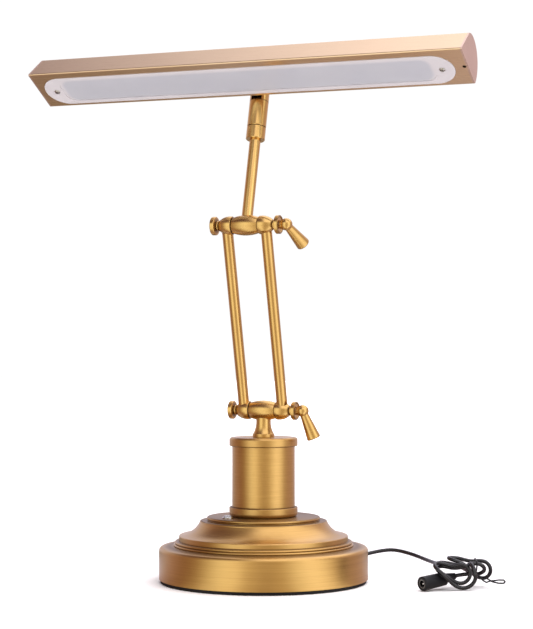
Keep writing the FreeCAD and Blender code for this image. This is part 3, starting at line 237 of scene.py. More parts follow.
print("material helpers ready")

# %% [markdown]
# ## The table top
#
# A white sweep is the usual ground for a product picture: it fills the shadows from below. It is one large
# flat sheet with a slightly rough white finish and a very faint mottle, and it glows a little farther out, so
# that it runs into the white background without an edge. Where the brass mirrors it, it shows the ring of
# tones instead of white, as if the cards reached down to the table. Close to the foot the ring is squeezed,
# because the foot mirrors the table beside itself. Behind the lamp the mirrored table is also painted brown,
# a painted reflection: the narrow gold frame round the light panel looks down on it, and that is what makes
# the frame darker than the flank.

# %% Lay the table top
TABLE_SIZE = 14
WHITES = ((0.92, 0.915, 0.915), (0.95, 0.945, 0.945))
MOTTLE_PER_METRE = 6
SWEEP_GLOW, GLOW_STARTS, GLOW_FULL = 0.7, 0.35, 1.60
MIRRORED_GLOW = 1.45
SQUEEZE, SQUEEZE_FULL, SQUEEZE_ENDS = 1.27, 0.12, 0.60
MIRRORED_BROWN = (0.34, 0.31, 0.17)
BROWN_STARTS, BROWN_FULL = -0.12, -0.21
BROWN_FADES, BROWN_ENDS = 0.45, 0.80

half = TABLE_SIZE / 2
sheet = bpy.data.meshes.new("table_top")
corners = [(-half, -half, 0), (half, -half, 0), (half, half, 0), (-half, half, 0)]
sheet.from_pydata(corners, [], [(0, 1, 2, 3)])
table_top = add_object("table_top", sheet)
table_white, tree, shader = new_material("table_white")
place = add_node(tree, "TexCoord").outputs["Object"]
from_lamp = calculate_vector(tree, "LENGTH", place)
in_mirror = add_node(tree, "LightPath").outputs["Is Glossy Ray"]

white = add_node(tree, "ValToRGB")
for stop, tone in zip(white.color_ramp.elements, WHITES):
    stop.color = (*tone, 1)
wire(tree, noise(tree, place, MOTTLE_PER_METRE, detail=2.0), white.inputs["Fac"])
squeeze = map_range(tree, from_lamp, SQUEEZE_FULL, SQUEEZE_ENDS, SQUEEZE, 1.0)
ring_tone = tones_by_compass(tree, place, squeeze)
# A brown patch painted into the table's mirror image behind the lamp: a painted reflection.
ahead = calculate_vector(tree, "DOT_PRODUCT", place, TOWARDS_CAMERA)
on_brown = calculate(tree, "MULTIPLY", map_range(tree, ahead, BROWN_STARTS, BROWN_FULL),
                    map_range(tree, from_lamp, BROWN_FADES, BROWN_ENDS, 1.0, 0.0))
brown_tone = mix_colours(tree, on_brown, (1, 1, 1), MIRRORED_BROWN)
mirrored = mix_colours(tree, 1.0, ring_tone, brown_tone, "MULTIPLY")
mirrored_glow = mix_colours(tree, 1.0, mirrored, (MIRRORED_GLOW,) * 3, "MULTIPLY")
own_glow = add_node(tree, "CombineColor")
for channel in own_glow.inputs:
    wire(tree, map_range(tree, from_lamp, GLOW_STARTS, GLOW_FULL, 0.0, SWEEP_GLOW), channel)
fill(tree, shader, {
    "Base Color": mix_colours(tree, in_mirror, white.outputs["Color"], mirrored),
    "Emission Color": mix_colours(tree, in_mirror, own_glow.outputs["Color"], mirrored_glow),
    "Emission Strength": 1.0, "Roughness": 0.8, "Specular IOR Level": 0.1})
table_white.cycles.emission_sampling = "NONE"
table_top.data.materials.append(table_white)
print("table top laid")

# %% [markdown]
# ## Soft light
#
# The room's own light comes from the ring of tones at eye level and from a ceiling above it. The ceiling is
# dim on the left and grows bright towards the middle. The sloping top of the head mirrors it, which is why
# the head grows lighter from left to right. One large softbox overhead lights the table. Mirror rays don't
# see it, so it leaves no hard spot on the round parts.

# %% Light the room
DIM_CEILING, BRIGHT_CEILING = (0.060, 0.038, 0.050), (0.56, 0.545, 0.575)
DIM_UNTIL, BRIGHT_FROM = -0.375, 0.0
WALLS_END, CEILING_STARTS = 0.42, 0.62
BACKDROP_WHITE = 1.02
SOFTBOX_AT = (0.1, -0.2, 2.6)
SOFTBOX_WIDTH, SOFTBOX_DEPTH = 2.4, 2.0
SOFTBOX_RADIANCE = 2.6


def split_xyz(tree, vector):
    """The three coordinates of a vector."""
    split = add_node(tree, "SeparateXYZ")
    wire(tree, vector, split.inputs["Vector"])
    return list(split.outputs)


room = bpy.data.worlds.new("pale_room")
bpy.context.scene.world = room
room.use_nodes = True
tree = room.node_tree
tree.nodes.clear()
heading = add_node(tree, "TexCoord").outputs["Generated"]
rightward = calculate_vector(tree, "DOT_PRODUCT", heading, CAMERAS_RIGHT)
ceiling = mix_colours(tree, map_range(tree, rightward, DIM_UNTIL, BRIGHT_FROM), DIM_CEILING, BRIGHT_CEILING)
overhead = map_range(tree, split_xyz(tree, heading)[2], WALLS_END, CEILING_STARTS)
surround = add_node(tree, "Background")
fill(tree, surround, {"Color": mix_colours(tree, overhead, tones_by_compass(tree, heading), ceiling),
                      "Strength": RING_STRENGTH})
backdrop = add_node(tree, "Background")
fill(tree, backdrop, {"Color": (1, 1, 1, 1), "Strength": BACKDROP_WHITE})
either = add_node(tree, "MixShader")
wire(tree, add_node(tree, "LightPath").outputs["Is Camera Ray"], either.inputs["Fac"])
wire(tree, surround.outputs["Background"], either.inputs[1])
wire(tree, backdrop.outputs["Background"], either.inputs[2])
wire(tree, either.outputs["Shader"], add_node(tree, "OutputWorld").inputs["Surface"])

light = bpy.data.lights.new("table_softbox", "AREA")
light.shape = "RECTANGLE"
light.size, light.size_y = SOFTBOX_WIDTH, SOFTBOX_DEPTH
light.energy = SOFTBOX_RADIANCE * math.pi * SOFTBOX_WIDTH * SOFTBOX_DEPTH
softbox = add_object("table_softbox", light)
softbox.location = SOFTBOX_AT
softbox.rotation_euler = (-Vector(SOFTBOX_AT)).to_track_quat("-Z", "Y").to_euler()
softbox.visible_camera = False
softbox.visible_glossy = False
bpy.context.scene.view_settings.view_transform = "Standard"
bpy.context.scene.view_settings.look = "None"

# %% [markdown]
# ## How brushed and turned metal is drawn
#
# Brushing leaves thousands of hair-fine grooves that all run one way. On a spun or turned piece they run
# round its axis, on a drawn tube along it. One long-stretched noise makes them: it changes quickly across
# the grooves and hardly at all along them. The same noise moves three things a little, the colour, the
# roughness and the surface height. A second, large and cloudy noise is the old lacquer, which is never
# quite even.
#
# Every turned piece has its own axis, so the pattern first gets the point in the piece's own frame. Round
# the axis it needs a seamless direction. The angle itself jumps where the circle closes, so the noise gets
# the point on a small circle, cosine and sine, as two more of its coordinates.

# %% Groove patterns
NOISE_LOW, NOISE_HIGH = 0.3, 0.7
GROOVE_ROUGHNESS = 0.6


def join_xyz(tree, x, y, z=0.0):
    """A vector from its coordinates."""
    joined = add_node(tree, "CombineXYZ")
    fill(tree, joined, {"X": x, "Y": y, "Z": z})
    return joined.outputs["Vector"]


def own_frame(tree, at=(0, 0, 0), turn=(0, 0, 0)):
    """The shaded point as seen from a piece's own centre and axis."""
    frame_node = add_node(tree, "Mapping", vector_type="TEXTURE")
    fill(tree, frame_node, {"Vector": add_node(tree, "TexCoord").outputs["Object"], "Location": at,
                            "Rotation": turn})
    return frame_node.outputs["Vector"]


def grooves_round(tree, point, per_metre, around):
    """Rings about the frame's Z axis: fine in radius and height, slow round the piece."""
    x, y, height = split_xyz(tree, point)
    flat = join_xyz(tree, x, y)
    cosine, sine, _ = split_xyz(tree, calculate_vector(tree, "NORMALIZE", flat))
    across_grooves = join_xyz(
        tree, calculate(tree, "MULTIPLY", calculate_vector(tree, "LENGTH", flat), per_metre),
        calculate(tree, "MULTIPLY", height, per_metre), calculate(tree, "MULTIPLY", cosine, around))
    return noise(tree, across_grooves, roughness=GROOVE_ROUGHNESS,
                 fourth=calculate(tree, "MULTIPLY", sine, around))


def grooves_along(tree, point, per_metre):
    """Straight hairlines; per_metre gives the noise's steps along the frame's x, y and z."""
    return noise(tree, calculate_vector(tree, "MULTIPLY", point, per_metre), roughness=GROOVE_ROUGHNESS)


def clouds(tree, per_metre, detail=3.0):
    """Large soft patches for lacquer and patina."""
    return noise(tree, add_node(tree, "TexCoord").outputs["Object"], per_metre, detail)


def span(tree, amount, low, high):
    """A noise, which mostly stays in its usual range, moved to low..high."""
    return map_range(tree, amount, NOISE_LOW, NOISE_HIGH, low, high, "LINEAR")


def raise_surface(tree, shader, height, strength, distance):
    """Bump from a height pattern."""
    bump = add_node(tree, "Bump")
    fill(tree, bump, {"Height": height, "Strength": strength, "Distance": distance})
    wire(tree, bump.outputs["Normal"], shader.inputs["Normal"])


print("groove patterns ready")

# %% [markdown]
# ## Where old brass goes dark, with painted shade in its seams
#
# Antique brass is dipped until it is brown and then rubbed bright again. The rubbing can't reach into the
# seams and the narrow steps, so they stay dark. The dark bands painted here stand both for that patina and
# for the shade that falls into the seams. All those seams are rings on a turned piece: each sits at one
# height along the axis. A soft dark band at each of those heights is enough, and it holds from every side.

# %% Dark seams
SEAM_TONE = (0.10, 0.042, 0.012)
SEAM_DULLING = 0.25
DULL_PATCH = (0.93, 0.91, 0.89)
LACQUER, LACQUER_ROUGHNESS = 0.3, 0.22
GROOVE_HEIGHT = 0.00003


def along_axis(tree, at=(0, 0, 0), turn=(0, 0, 0)):
    """How far along a piece's own axis the shaded point is."""
    return split_xyz(tree, own_frame(tree, at, turn))[2]


def apart(tree, value, middle=0.0):
    """How far a coordinate is from a middle, which is given in millimetres."""
    return calculate(tree, "ABSOLUTE", calculate(tree, "SUBTRACT", value, middle * MM))


def seams(tree, height, places):
    """How deep in a seam the point is, 0 to 1; places are (height, half width) in millimetres."""
    deepest = 0.0
    for at, half_width in places:
        depth = map_range(tree, apart(tree, height, at), half_width * MM, 0.0)
        deepest = calculate(tree, "MAXIMUM", depth, deepest)
    return deepest


def metal_finish(name, deep, bright, grooves, roughness, stretch=0.0, groove_depth=0.1, tangent_axis=None,
                 quarter_turn=0.0, patches=22, seam=None, patina_and_shade=0.8):
    """Brushed metal from one groove pattern, with dark seams of patina and painted shade where it has any."""
    material, tree, shader = new_material(name)
    lines = grooves(tree)
    line_tone = mix_colours(tree, span(tree, lines, 0, 1), deep, bright)
    patch_tone = mix_colours(tree, span(tree, clouds(tree, patches), 0, 1), DULL_PATCH, (1, 1, 1))
    tone = mix_colours(tree, 1.0, line_tone, patch_tone, "MULTIPLY")
    rough = span(tree, lines, *roughness)
    # Dark seam bands: patina together with painted shade in the seams.
    if seam:
        depth = calculate(tree, "MULTIPLY", seam(tree), patina_and_shade)
        tone = mix_colours(tree, depth, tone, SEAM_TONE)
        rough = calculate(tree, "MULTIPLY_ADD", depth, SEAM_DULLING, rough)
    fill(tree, shader, {
        "Base Color": tone, "Roughness": rough, "Metallic": 1.0, "Anisotropic": stretch,
        "Anisotropic Rotation": quarter_turn, "Coat Weight": LACQUER, "Coat Roughness": LACQUER_ROUGHNESS})
    if tangent_axis:
        tangent = add_node(tree, "Tangent", direction_type="RADIAL", axis=tangent_axis)
        wire(tree, tangent.outputs["Tangent"], shader.inputs["Tangent"])
    raise_surface(tree, shader, lines, groove_depth, GROOVE_HEIGHT)
    return material


print("seams ready")

# %% [markdown]
# ## Antique brass for the foot and the drum
#
# The foot, the collar, the drum and its cap are spun or turned brass, brushed while they spin and then
# lacquered. The shader is plain metal. Its highlight is stretched across the grooves, which gives the
# upright streaks on the drum and the fans of light on the steps, so it gets a tangent that runs round the
# Z axis. The dark seams sit where the beads, the step, the plateau's rolled edge, the collar and the cap
# meet their neighbours.

# %% Antique brass
FOOT_SEAMS = [(31.0, 0.9), (33.6, 0.5), (35.6, 0.7), (53.0, 0.7), (56.5, 1.5), (64.8, 0.9), (117.1, 0.7)]
antique_brass = metal_finish(
    "antique_brass", (0.54, 0.315, 0.098), (0.65, 0.40, 0.130),
    lambda tree: grooves_round(tree, own_frame(tree), per_metre=1900, around=1.6),
    roughness=(0.33, 0.40), stretch=0.55, groove_depth=0.2, tangent_axis="Z", quarter_turn=0.25,
    seam=lambda tree: seams(tree, along_axis(tree), FOOT_SEAMS), patina_and_shade=0.75)
print("made", antique_brass.name)

# %% [markdown]
# ## Polished brass for the clamp hinges
#
# The barrels, cups and discs are small parts turned about the hinge's own axis, which lies across the lamp.
# They are polished more than the foot, so their highlights are narrower and brighter. Brown patina and
# painted shade darken the seams between barrel and cup, behind the cup and round the disc's neck. The
# levers are turned about their own slanting axis, so each gets its own frame.

# %% Hinge brass
HINGES = {"lower": Vector((0, 0, 147.6)) * MM, "upper": Vector((0, -38.807, 304.883)) * MM}
LEVER_START = 35.9
LEVER_TURNS = {"lower": 12.0, "upper": 48.0}
LEVER_CANT = 19.4
# Seams of the hinge, darkened with patina and painted shade.
HINGE_SEAMS = [(12.05, 0.6), (24.6, 0.7), (26.9, 0.45), (30.6, 0.4)]
POLISHED_DEEP, POLISHED_BRIGHT = (0.645, 0.400, 0.130), (0.670, 0.420, 0.140)
ACROSS = (0, math.pi / 2, 0)

hinge_finishes = {}
for level, centre in HINGES.items():
    hinge_finishes[level + "_hinge"] = metal_finish(
        level + "_hinge_brass", POLISHED_DEEP, POLISHED_BRIGHT,
        lambda tree: grooves_round(tree, own_frame(tree, centre, ACROSS), per_metre=1100, around=0.8),
        roughness=(0.26, 0.29), stretch=0.3, groove_depth=0.01, tangent_axis="X", quarter_turn=0.25,
        patches=60,
        seam=lambda tree: seams(tree, apart(tree, along_axis(tree, centre, ACROSS)), HINGE_SEAMS))
    lean = Matrix.Rotation(math.radians(LEVER_TURNS[level]), 3, "X")
    lean = lean @ Matrix.Rotation(math.radians(180 - LEVER_CANT), 3, "Y")
    ball_at = centre + Vector((LEVER_START * MM, 0, 0))
    hinge_finishes[level + "_lever"] = metal_finish(
        level + "_lever_brass", POLISHED_DEEP, POLISHED_BRIGHT,
        lambda tree: grooves_round(
            tree, own_frame(tree, ball_at, lean.to_euler()), per_metre=1100, around=0.8),
        roughness=(0.24, 0.28), groove_depth=0.01, patches=60)
print("made", [material.name for material in hinge_finishes.values()])

# %% [markdown]
# ## Drawn tubes, stem and swivel
#
# The two arms and the rod are drawn tube, polished along their length. Each leans a little, so its pattern
# leans with it. The stem is turned about the upright axis and the swivel about the rod's, with a dark line of
# patina and painted shade in the seam between its collar and its fork. The tongue between the prongs is
# painted dark brown as painted shade, which makes a dark throat there.

# %% Tubes, stem and swivel
ARM_LEAN, ROD_LEAN = math.radians(13.86), math.radians(-15.03)
DRAWN_DEEP, DRAWN_BRIGHT = (0.70, 0.445, 0.150), (0.73, 0.470, 0.165)
STEM_SEAMS = [(124.5, 0.5), (141.4, 0.5)]
SWIVEL_SEAMS = [(88.0, 0.45), (111.0, 0.8)]
ALONG_ARMS = (HINGES["lower"], (ARM_LEAN, 0, 0))
ALONG_ROD = (HINGES["upper"], (ROD_LEAN, 0, 0))

arm_satin = metal_finish(
    "arm_satin", POLISHED_DEEP, POLISHED_BRIGHT,
    lambda tree: grooves_along(tree, own_frame(tree, *ALONG_ARMS), (700, 700, 10)),
    roughness=(0.19, 0.22), stretch=0.2, groove_depth=0.01, tangent_axis="Z", patches=40)
rod_satin = metal_finish(
    "rod_satin", DRAWN_DEEP, DRAWN_BRIGHT,
    lambda tree: grooves_along(tree, own_frame(tree, *ALONG_ROD), (700, 700, 10)),
    roughness=(0.16, 0.18), stretch=0.2, groove_depth=0.01, tangent_axis="Z", patches=40)
stem_satin = metal_finish(
    "stem_satin", POLISHED_DEEP, POLISHED_BRIGHT,
    lambda tree: grooves_round(tree, own_frame(tree), per_metre=1500, around=1.0),
    roughness=(0.26, 0.31), stretch=0.3, groove_depth=0.03, tangent_axis="Z", quarter_turn=0.25, patches=60,
    seam=lambda tree: seams(tree, along_axis(tree), STEM_SEAMS))
swivel_satin = metal_finish(
    "swivel_satin", DRAWN_DEEP, DRAWN_BRIGHT,
    lambda tree: grooves_round(tree, own_frame(tree, *ALONG_ROD), per_metre=1100, around=1.0),
    roughness=(0.18, 0.21), stretch=0.3, groove_depth=0.01, tangent_axis="Z", quarter_turn=0.25, patches=60,
    seam=lambda tree: seams(tree, along_axis(tree, *ALONG_ROD), SWIVEL_SEAMS))
# The tongue is painted a dark brown metal: painted shade in the slot between the prongs.
tongue_shade = metal_finish(
    "tongue_shade", (0.12, 0.065, 0.03), (0.19, 0.105, 0.045),
    lambda tree: grooves_along(tree, own_frame(tree), (900, 900, 900)),
    roughness=(0.5, 0.6), groove_depth=0.3, patches=120)
print("made", arm_satin.name, rod_satin.name, stem_satin.name, swivel_satin.name, tongue_shade.name)

# %% [markdown]
# ## Brushed head
#
# The head is folded from sheet and brushed along its length before it is coloured a pale gold. It mirrors
# the room less sharply than the tubes and shows long straight hairlines. Its ends are brushed crosswise.

# %% Brushed pale gold
END_LEAN = 0.6
head_gold = metal_finish(
    "head_gold", (0.735, 0.522, 0.325), (0.795, 0.578, 0.372),
    lambda tree: grooves_along(tree, own_frame(tree), (30, 2600, 2600)),
    roughness=(0.27, 0.31), stretch=0.6, groove_depth=0.10, tangent_axis="X", patches=9)
end_gold = metal_finish(
    "end_gold", (0.68, 0.49, 0.40), (0.77, 0.565, 0.47),
    lambda tree: grooves_along(tree, own_frame(tree, turn=(END_LEAN, 0, 0)), (400, 2600, 40)),
    roughness=(0.38, 0.46), groove_depth=0.2, patches=30)
print("made", head_gold.name, end_gold.name)

# %% [markdown]
# ## Opal panel
#
# The light panel is opal acrylic. Light enters, scatters a little way inside and comes out again, so it
# looks soft and slightly grey when the lamp is off. The board with its light sources stands behind the
# middle of the panel. The middle is painted cooler and darker, as painted shade under the head, and the
# rim that rests on the tray is painted paler, as a painted highlight along the panel's edge.

# %% Opal acrylic
HEAD_SLOPE = math.radians(-29.1)
HEAD_AT = Vector((0, -65.528, 438.542)) * MM
PANEL_MIDDLE_RUN, PANEL_MIDDLE_ACROSS = -2.5, 25.5
PANEL_HALF_RUN, PANEL_HALF_WIDTH = 157.5, 5.0
SHADE_STARTS, SHADE_ENDS = 6.5, 11.0
SHADED_MIDDLE = ((0.370, 0.372, 0.405), (0.392, 0.392, 0.420))
LIT_RIM = ((0.485, 0.460, 0.470), (0.515, 0.485, 0.495))


def beyond(tree, value, middle, reach):
    """How far a coordinate lies outside middle plus or minus reach, in metres."""
    outside = calculate(tree, "SUBTRACT", apart(tree, value, middle), reach * MM)
    return calculate(tree, "MAXIMUM", outside, 0.0)


opal_acrylic, tree, shader = new_material("opal_acrylic")
panel_at = HEAD_AT + Vector((PANEL_MIDDLE_RUN, 0, 0)) * MM
run, width, _ = split_xyz(tree, own_frame(tree, panel_at, (HEAD_SLOPE, 0, 0)))
rim_distance = calculate_vector(tree, "LENGTH", join_xyz(
    tree, beyond(tree, run, 0, PANEL_HALF_RUN), beyond(tree, width, PANEL_MIDDLE_ACROSS, PANEL_HALF_WIDTH)))
rim = map_range(tree, rim_distance, SHADE_STARTS * MM, SHADE_ENDS * MM)
haze = clouds(tree, 35)
# Painted shade in the panel's middle, a painted highlight on its rim.
inner = mix_colours(tree, span(tree, haze, 0, 1), *SHADED_MIDDLE)
outer = mix_colours(tree, span(tree, haze, 0, 1), *LIT_RIM)
fill(tree, shader, {
    "Base Color": mix_colours(tree, rim, inner, outer), "Roughness": span(tree, haze, 0.34, 0.42),
    "Subsurface Weight": 0.15, "Subsurface Radius": (0.002, 0.002, 0.0022), "Subsurface Scale": 1.0,
    "Coat Weight": 0.2, "Coat Roughness": 0.2})
print("made", opal_acrylic.name)

# %% [markdown]
# ## The dark and the small finishes
#
# Moulded black plastic has a fine spark-eroded grain, the rubber under the foot is duller and slightly
# dusty, and the lead's jacket is smooth soft vinyl. Screws and bolts are plated steel. The switch's ring and
# the socket's pin are bright chrome, and the socket's sleeve is a duller nickel. Each finish is one row of a
# table: two tones, how fine its grain is, how rough and how deep.

# %% Plastics, rubber and steel
GRAIN_HEIGHT = 0.00008
GRAIN_TO_PATCH = 30
DUSTY_PATCH = (0.85, 0.85, 0.85)
SMALL_FINISHES = {
    "foot_rubber": dict(dark=(0.008, 0.007, 0.008), light=(0.016, 0.014, 0.015), grain=1800,
                        roughness=(0.65, 0.85), depth=0.5, shine=0.2),
    "moulded_black": dict(dark=(0.007, 0.007, 0.009), light=(0.014, 0.014, 0.017), grain=2600,
                          roughness=(0.42, 0.55), depth=0.4, shine=0.22),
    "soft_black": dict(dark=(0.007, 0.007, 0.009), light=(0.014, 0.014, 0.016), grain=1500,
                       roughness=(0.34, 0.46), depth=0.3, shine=0.25),
    "jacket_vinyl": dict(dark=(0.006, 0.006, 0.009), light=(0.012, 0.012, 0.016), grain=900,
                         roughness=(0.20, 0.28), depth=0.12, shine=0.55),
    "socket_nickel": dict(dark=(0.16, 0.16, 0.17), light=(0.26, 0.26, 0.27), grain=900,
                          roughness=(0.22, 0.30), depth=0.1, metallic=1.0),
    "plated_steel": dict(dark=(0.44, 0.42, 0.40), light=(0.60, 0.58, 0.56), grain=1500,
                         roughness=(0.22, 0.34), depth=0.15, metallic=1.0),
    "bright_chrome": dict(dark=(0.62, 0.62, 0.64), light=(0.74, 0.74, 0.76), grain=900,
                          roughness=(0.08, 0.16), depth=0.1, metallic=1.0),
    "mill_aluminium": dict(dark=(0.55, 0.55, 0.57), light=(0.70, 0.70, 0.72), grain=500,
                           roughness=(0.35, 0.5), depth=0.2, metallic=1.0),
    "cast_iron": dict(dark=(0.05, 0.05, 0.05), light=(0.11, 0.105, 0.10), grain=600,
                      roughness=(0.6, 0.8), depth=0.8, metallic=0.6),
    "board_lacquer": dict(dark=(0.70, 0.71, 0.69), light=(0.80, 0.81, 0.79), grain=400,
                          roughness=(0.25, 0.35), depth=0.1),
    "led_phosphor": dict(dark=(0.80, 0.52, 0.05), light=(0.86, 0.62, 0.12), grain=1200,
                         roughness=(0.3, 0.4), depth=0.1),
    "button_gloss": dict(dark=(0.36, 0.36, 0.39), light=(0.46, 0.46, 0.49), grain=900,
                         roughness=(0.15, 0.25), depth=0.1),
}


def grained_finish(name, dark, light, grain, roughness, depth, metallic=0.0, shine=0.5):
    """Moulded or cast surface with an even fine grain."""
    material, tree, shader = new_material(name)
    fine = clouds(tree, grain, detail=4.0)
    grain_tone = mix_colours(tree, span(tree, fine, 0, 1), dark, light)
    patches = clouds(tree, grain / GRAIN_TO_PATCH)
    patch_tone = mix_colours(tree, span(tree, patches, 0, 1), DUSTY_PATCH, (1, 1, 1))
    fill(tree, shader, {
        "Base Color": mix_colours(tree, 1.0, grain_tone, patch_tone, "MULTIPLY"),
        "Roughness": span(tree, fine, *roughness), "Metallic": metallic, "Specular IOR Level": shine})
    raise_surface(tree, shader, fine, depth, GRAIN_HEIGHT)
    return material


small = {name: grained_finish(name, **look) for name, look in SMALL_FINISHES.items()}
print("small finishes made:", len(small))

# %% [markdown]
# ## Finishes go on by slot
#
# Every workshop piece names the slot that its finish belongs to. One table of slots is enough to dress
# nearly all of them. A second, short table names the pieces that differ from the rest of their slot: those
# with an axis of their own, the head's ends and the socket's sleeve. The hinge pieces are known by name.

# %% Dress the workshop pieces
FINISHES = {
    "aged_brass": antique_brass,
    "hinge_brass": stem_satin,
    "tube_brass": arm_satin,
    "head_metal": head_gold,
    "ballast": small["cast_iron"],
    "foot_rubber": small["foot_rubber"],
    "steel": small["plated_steel"],
    "tray_metal": small["mill_aluminium"],
    "opal": opal_acrylic,
    "circuit_board": small["board_lacquer"],
    "led_yellow": small["led_phosphor"],
    "bright_metal": small["bright_chrome"],
    "button_white": small["button_gloss"],
    "black_plastic": small["moulded_black"],
    "black_rubber": small["soft_black"],
    "cord_black": small["jacket_vinyl"],
}
OWN_FINISHES = {
    "upper_rod": rod_satin,
    "swivel_collar": swivel_satin,
    "swivel_fork": swivel_satin,
    "head_tongue": tongue_shade,
    "left_end_cap": end_gold,
    "right_end_cap": end_gold,
    "jack_sleeve": small["socket_nickel"],
    "lower_lever": hinge_finishes["lower_lever"],
    "upper_lever": hinge_finishes["upper_lever"],
}
for part in frame["record"]["subparts"]:
    piece = NODES[part["node"]]
    finish = OWN_FINISHES.get(part["node"], FINISHES[part["material_slot"]])
    for level in HINGES:
        if part["node"].startswith(level) and part["node"].endswith(("barrel", "cup", "disc")):
            finish = hinge_finishes[level + "_hinge"]
    piece.data.materials.clear()
    piece.data.materials.append(finish)

# %% [markdown]
# ## The lead
#
# The low-voltage lead leaves the foot through a bushing, hangs in a low arch and ends in a folded bundle
# that a wire tie holds. It is one continuous cable, so its points run from the bushing to the socket. They
# are given as right, forward and up, in millimetres, in a frame turned with the bundle.
#
# The bundle is laid as a hand winds it: to the right at the back, round a loop, back over the top, round a
# short fold and a second loop, then twice round the front, and last over an arch down into the socket's
# strain relief. The strands were first traced one by one. A relaxation outside this script then spread most
# of the bundle's points, so that turns that lie beside each other are at least a cable's width apart, and
# after it some were lowered on to the table and nine were moved by a small search that eased a fold.

# %% Route of the lead
BUNDLE_TURN = math.radians(21.9)
CORD_DIAMETER = 0.0033


def spot(right, forward, height):
    """A point of the bundle's own frame, in metres in the lamp's frame."""
    across, deep = math.cos(BUNDLE_TURN), math.sin(BUNDLE_TURN)
    return Vector((right * across + forward * deep, right * deep - forward * across, height)) * MM


LEAD_RUN = [
    (88.80, -32.32, 19.3), (99.5, -36.2, 21.6), (114.8, -36.0, 23.6), (130.5, -25.0, 20.6),
    (141.2, -6.0, 17.8), (146.2, 10.0, 17.4), (148.6, 24.5, 18.4),
]
BACK_LOOP = [
    (148.6, 37.5, 21.4), (159.0, 44.1, 20.5), (167.5, 39.1, 16.7), (169.3, 30.3, 14.8), (175.9, 26.6, 11.3),
    (181.6, 29.0, 7.2), (187.4, 32.8, 6.9), (191.4, 35.3, 11.3), (191.2, 36.3, 17.4), (187.0, 35.8, 21.8),
    (181.1, 34.4, 22.1), (175.6, 32.5, 21.3), (170.0, 30.9, 22.4),
]
TOP_FOLD = [
    (164.8, 28.6, 23.6), (159.4, 29.9, 24.2), (156.2, 33.8, 24.6), (156.0, 38.6, 24.5), (158.6, 42.5, 23.9),
    (163.1, 44.1, 22.4), (167.7, 42.5, 20.4), (170.1, 38.7, 18.2), (173.1, 36.3, 13.9),
]
SECOND_LOOP = [
    (177.7, 35.9, 11.2), (181.6, 36.8, 11.3), (184.2, 38.1, 12.9), (185.5, 40.3, 14.6), (185.4, 42.4, 16.8),
    (183.7, 44.7, 19.1), (180.2, 45.6, 21.0), (174.2, 45.0, 21.0), (168.9, 45.0, 18.6), (163.0, 45.7, 17.3),
    (157.1, 44.4, 17.2), (151.4, 43.3, 18.6),
]
INNER_TURN = [
    (146.3, 45.9, 18.7), (144.2, 50.8, 17.7), (145.7, 55.5, 15.7), (149.8, 57.9, 13.0), (154.5, 56.6, 10.5),
    (158.7, 55.0, 7.2), (163.8, 54.0, 5.3), (168.9, 53.4, 6.6), (172.2, 52.9, 10.9), (172.5, 51.6, 15.6),
    (170.0, 50.4, 19.5), (165.6, 49.5, 21.2), (160.9, 49.1, 20.0), (156.2, 48.5, 19.2), (151.9, 46.6, 20.7),
]
OUTER_TURN = [
    (147.1, 47.4, 22.0), (143.4, 50.8, 21.8), (142.3, 55.5, 20.4), (144.2, 59.7, 18.0), (148.3, 61.4, 14.7),
    (152.4, 60.7, 10.4), (156.6, 58.7, 6.2), (161.5, 57.6, 2.7), (167.3, 57.0, 1.7), (172.6, 58.0, 4.2),
    (175.8, 60.9, 9.4), (175.5, 62.5, 15.4), (173.8, 60.5, 20.3),
]
ARCH_TO_SOCKET = [
    (172.3, 55.7, 22.6), (172.7, 50.0, 21.3), (176.2, 46.3, 16.8), (174.2, 40.2, 11.8),
    (165.47, 37.02, 10.61), (160.79, 40.57, 10.02),
]
LEAD_POINTS = LEAD_RUN + BACK_LOOP + TOP_FOLD + SECOND_LOOP + INNER_TURN + OUTER_TURN + ARCH_TO_SOCKET
print("lead has", len(LEAD_POINTS), "control points")

# %% [markdown]
# ## From points to a cable
#
# A NURBS spline passes near its control points and bends like a real cable, with no corners. A round bevel
# gives it its thickness. The wires of the tie are made in the same way.

# %% Lay the lead
def smooth_cable(name, points, thickness, closed=False, along_steps=10, round_steps=6):
    """One NURBS spline with a round bevel."""
    curve = bpy.data.curves.new(name, "CURVE")
    curve.dimensions = "3D"
    curve.bevel_depth = thickness / 2
    curve.bevel_resolution = round_steps
    curve.resolution_u = along_steps
    curve.use_fill_caps = not closed
    line = curve.splines.new("NURBS")
    line.points.add(len(points) - 1)
    for point, at in zip(line.points, points):
        point.co = (*at, 1)
    line.order_u = 3
    line.use_endpoint_u = not closed
    line.use_cyclic_u = closed
    line.use_smooth = True
    return add_object(name, curve)


lead = smooth_cable("lead_and_bundle", [spot(*point) for point in LEAD_POINTS], CORD_DIAMETER)
lead.data.materials.append(small["jacket_vinyl"])
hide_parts("power_cord", "cord_hank")
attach(lead, "base")

# %% [markdown]
# ## The wire tie
#
# A plastic-coated steel wire holds the bundle at its waist. It goes round the strands once, and then its two
# ends are twisted together, leave a small eye, are twisted again and end in a long narrow loop. Two wires
# that wind about one middle line make all of it. Where they are twisted they stay close to the line and turn
# round it. In the eye and in the loop they stop turning and spread apart.

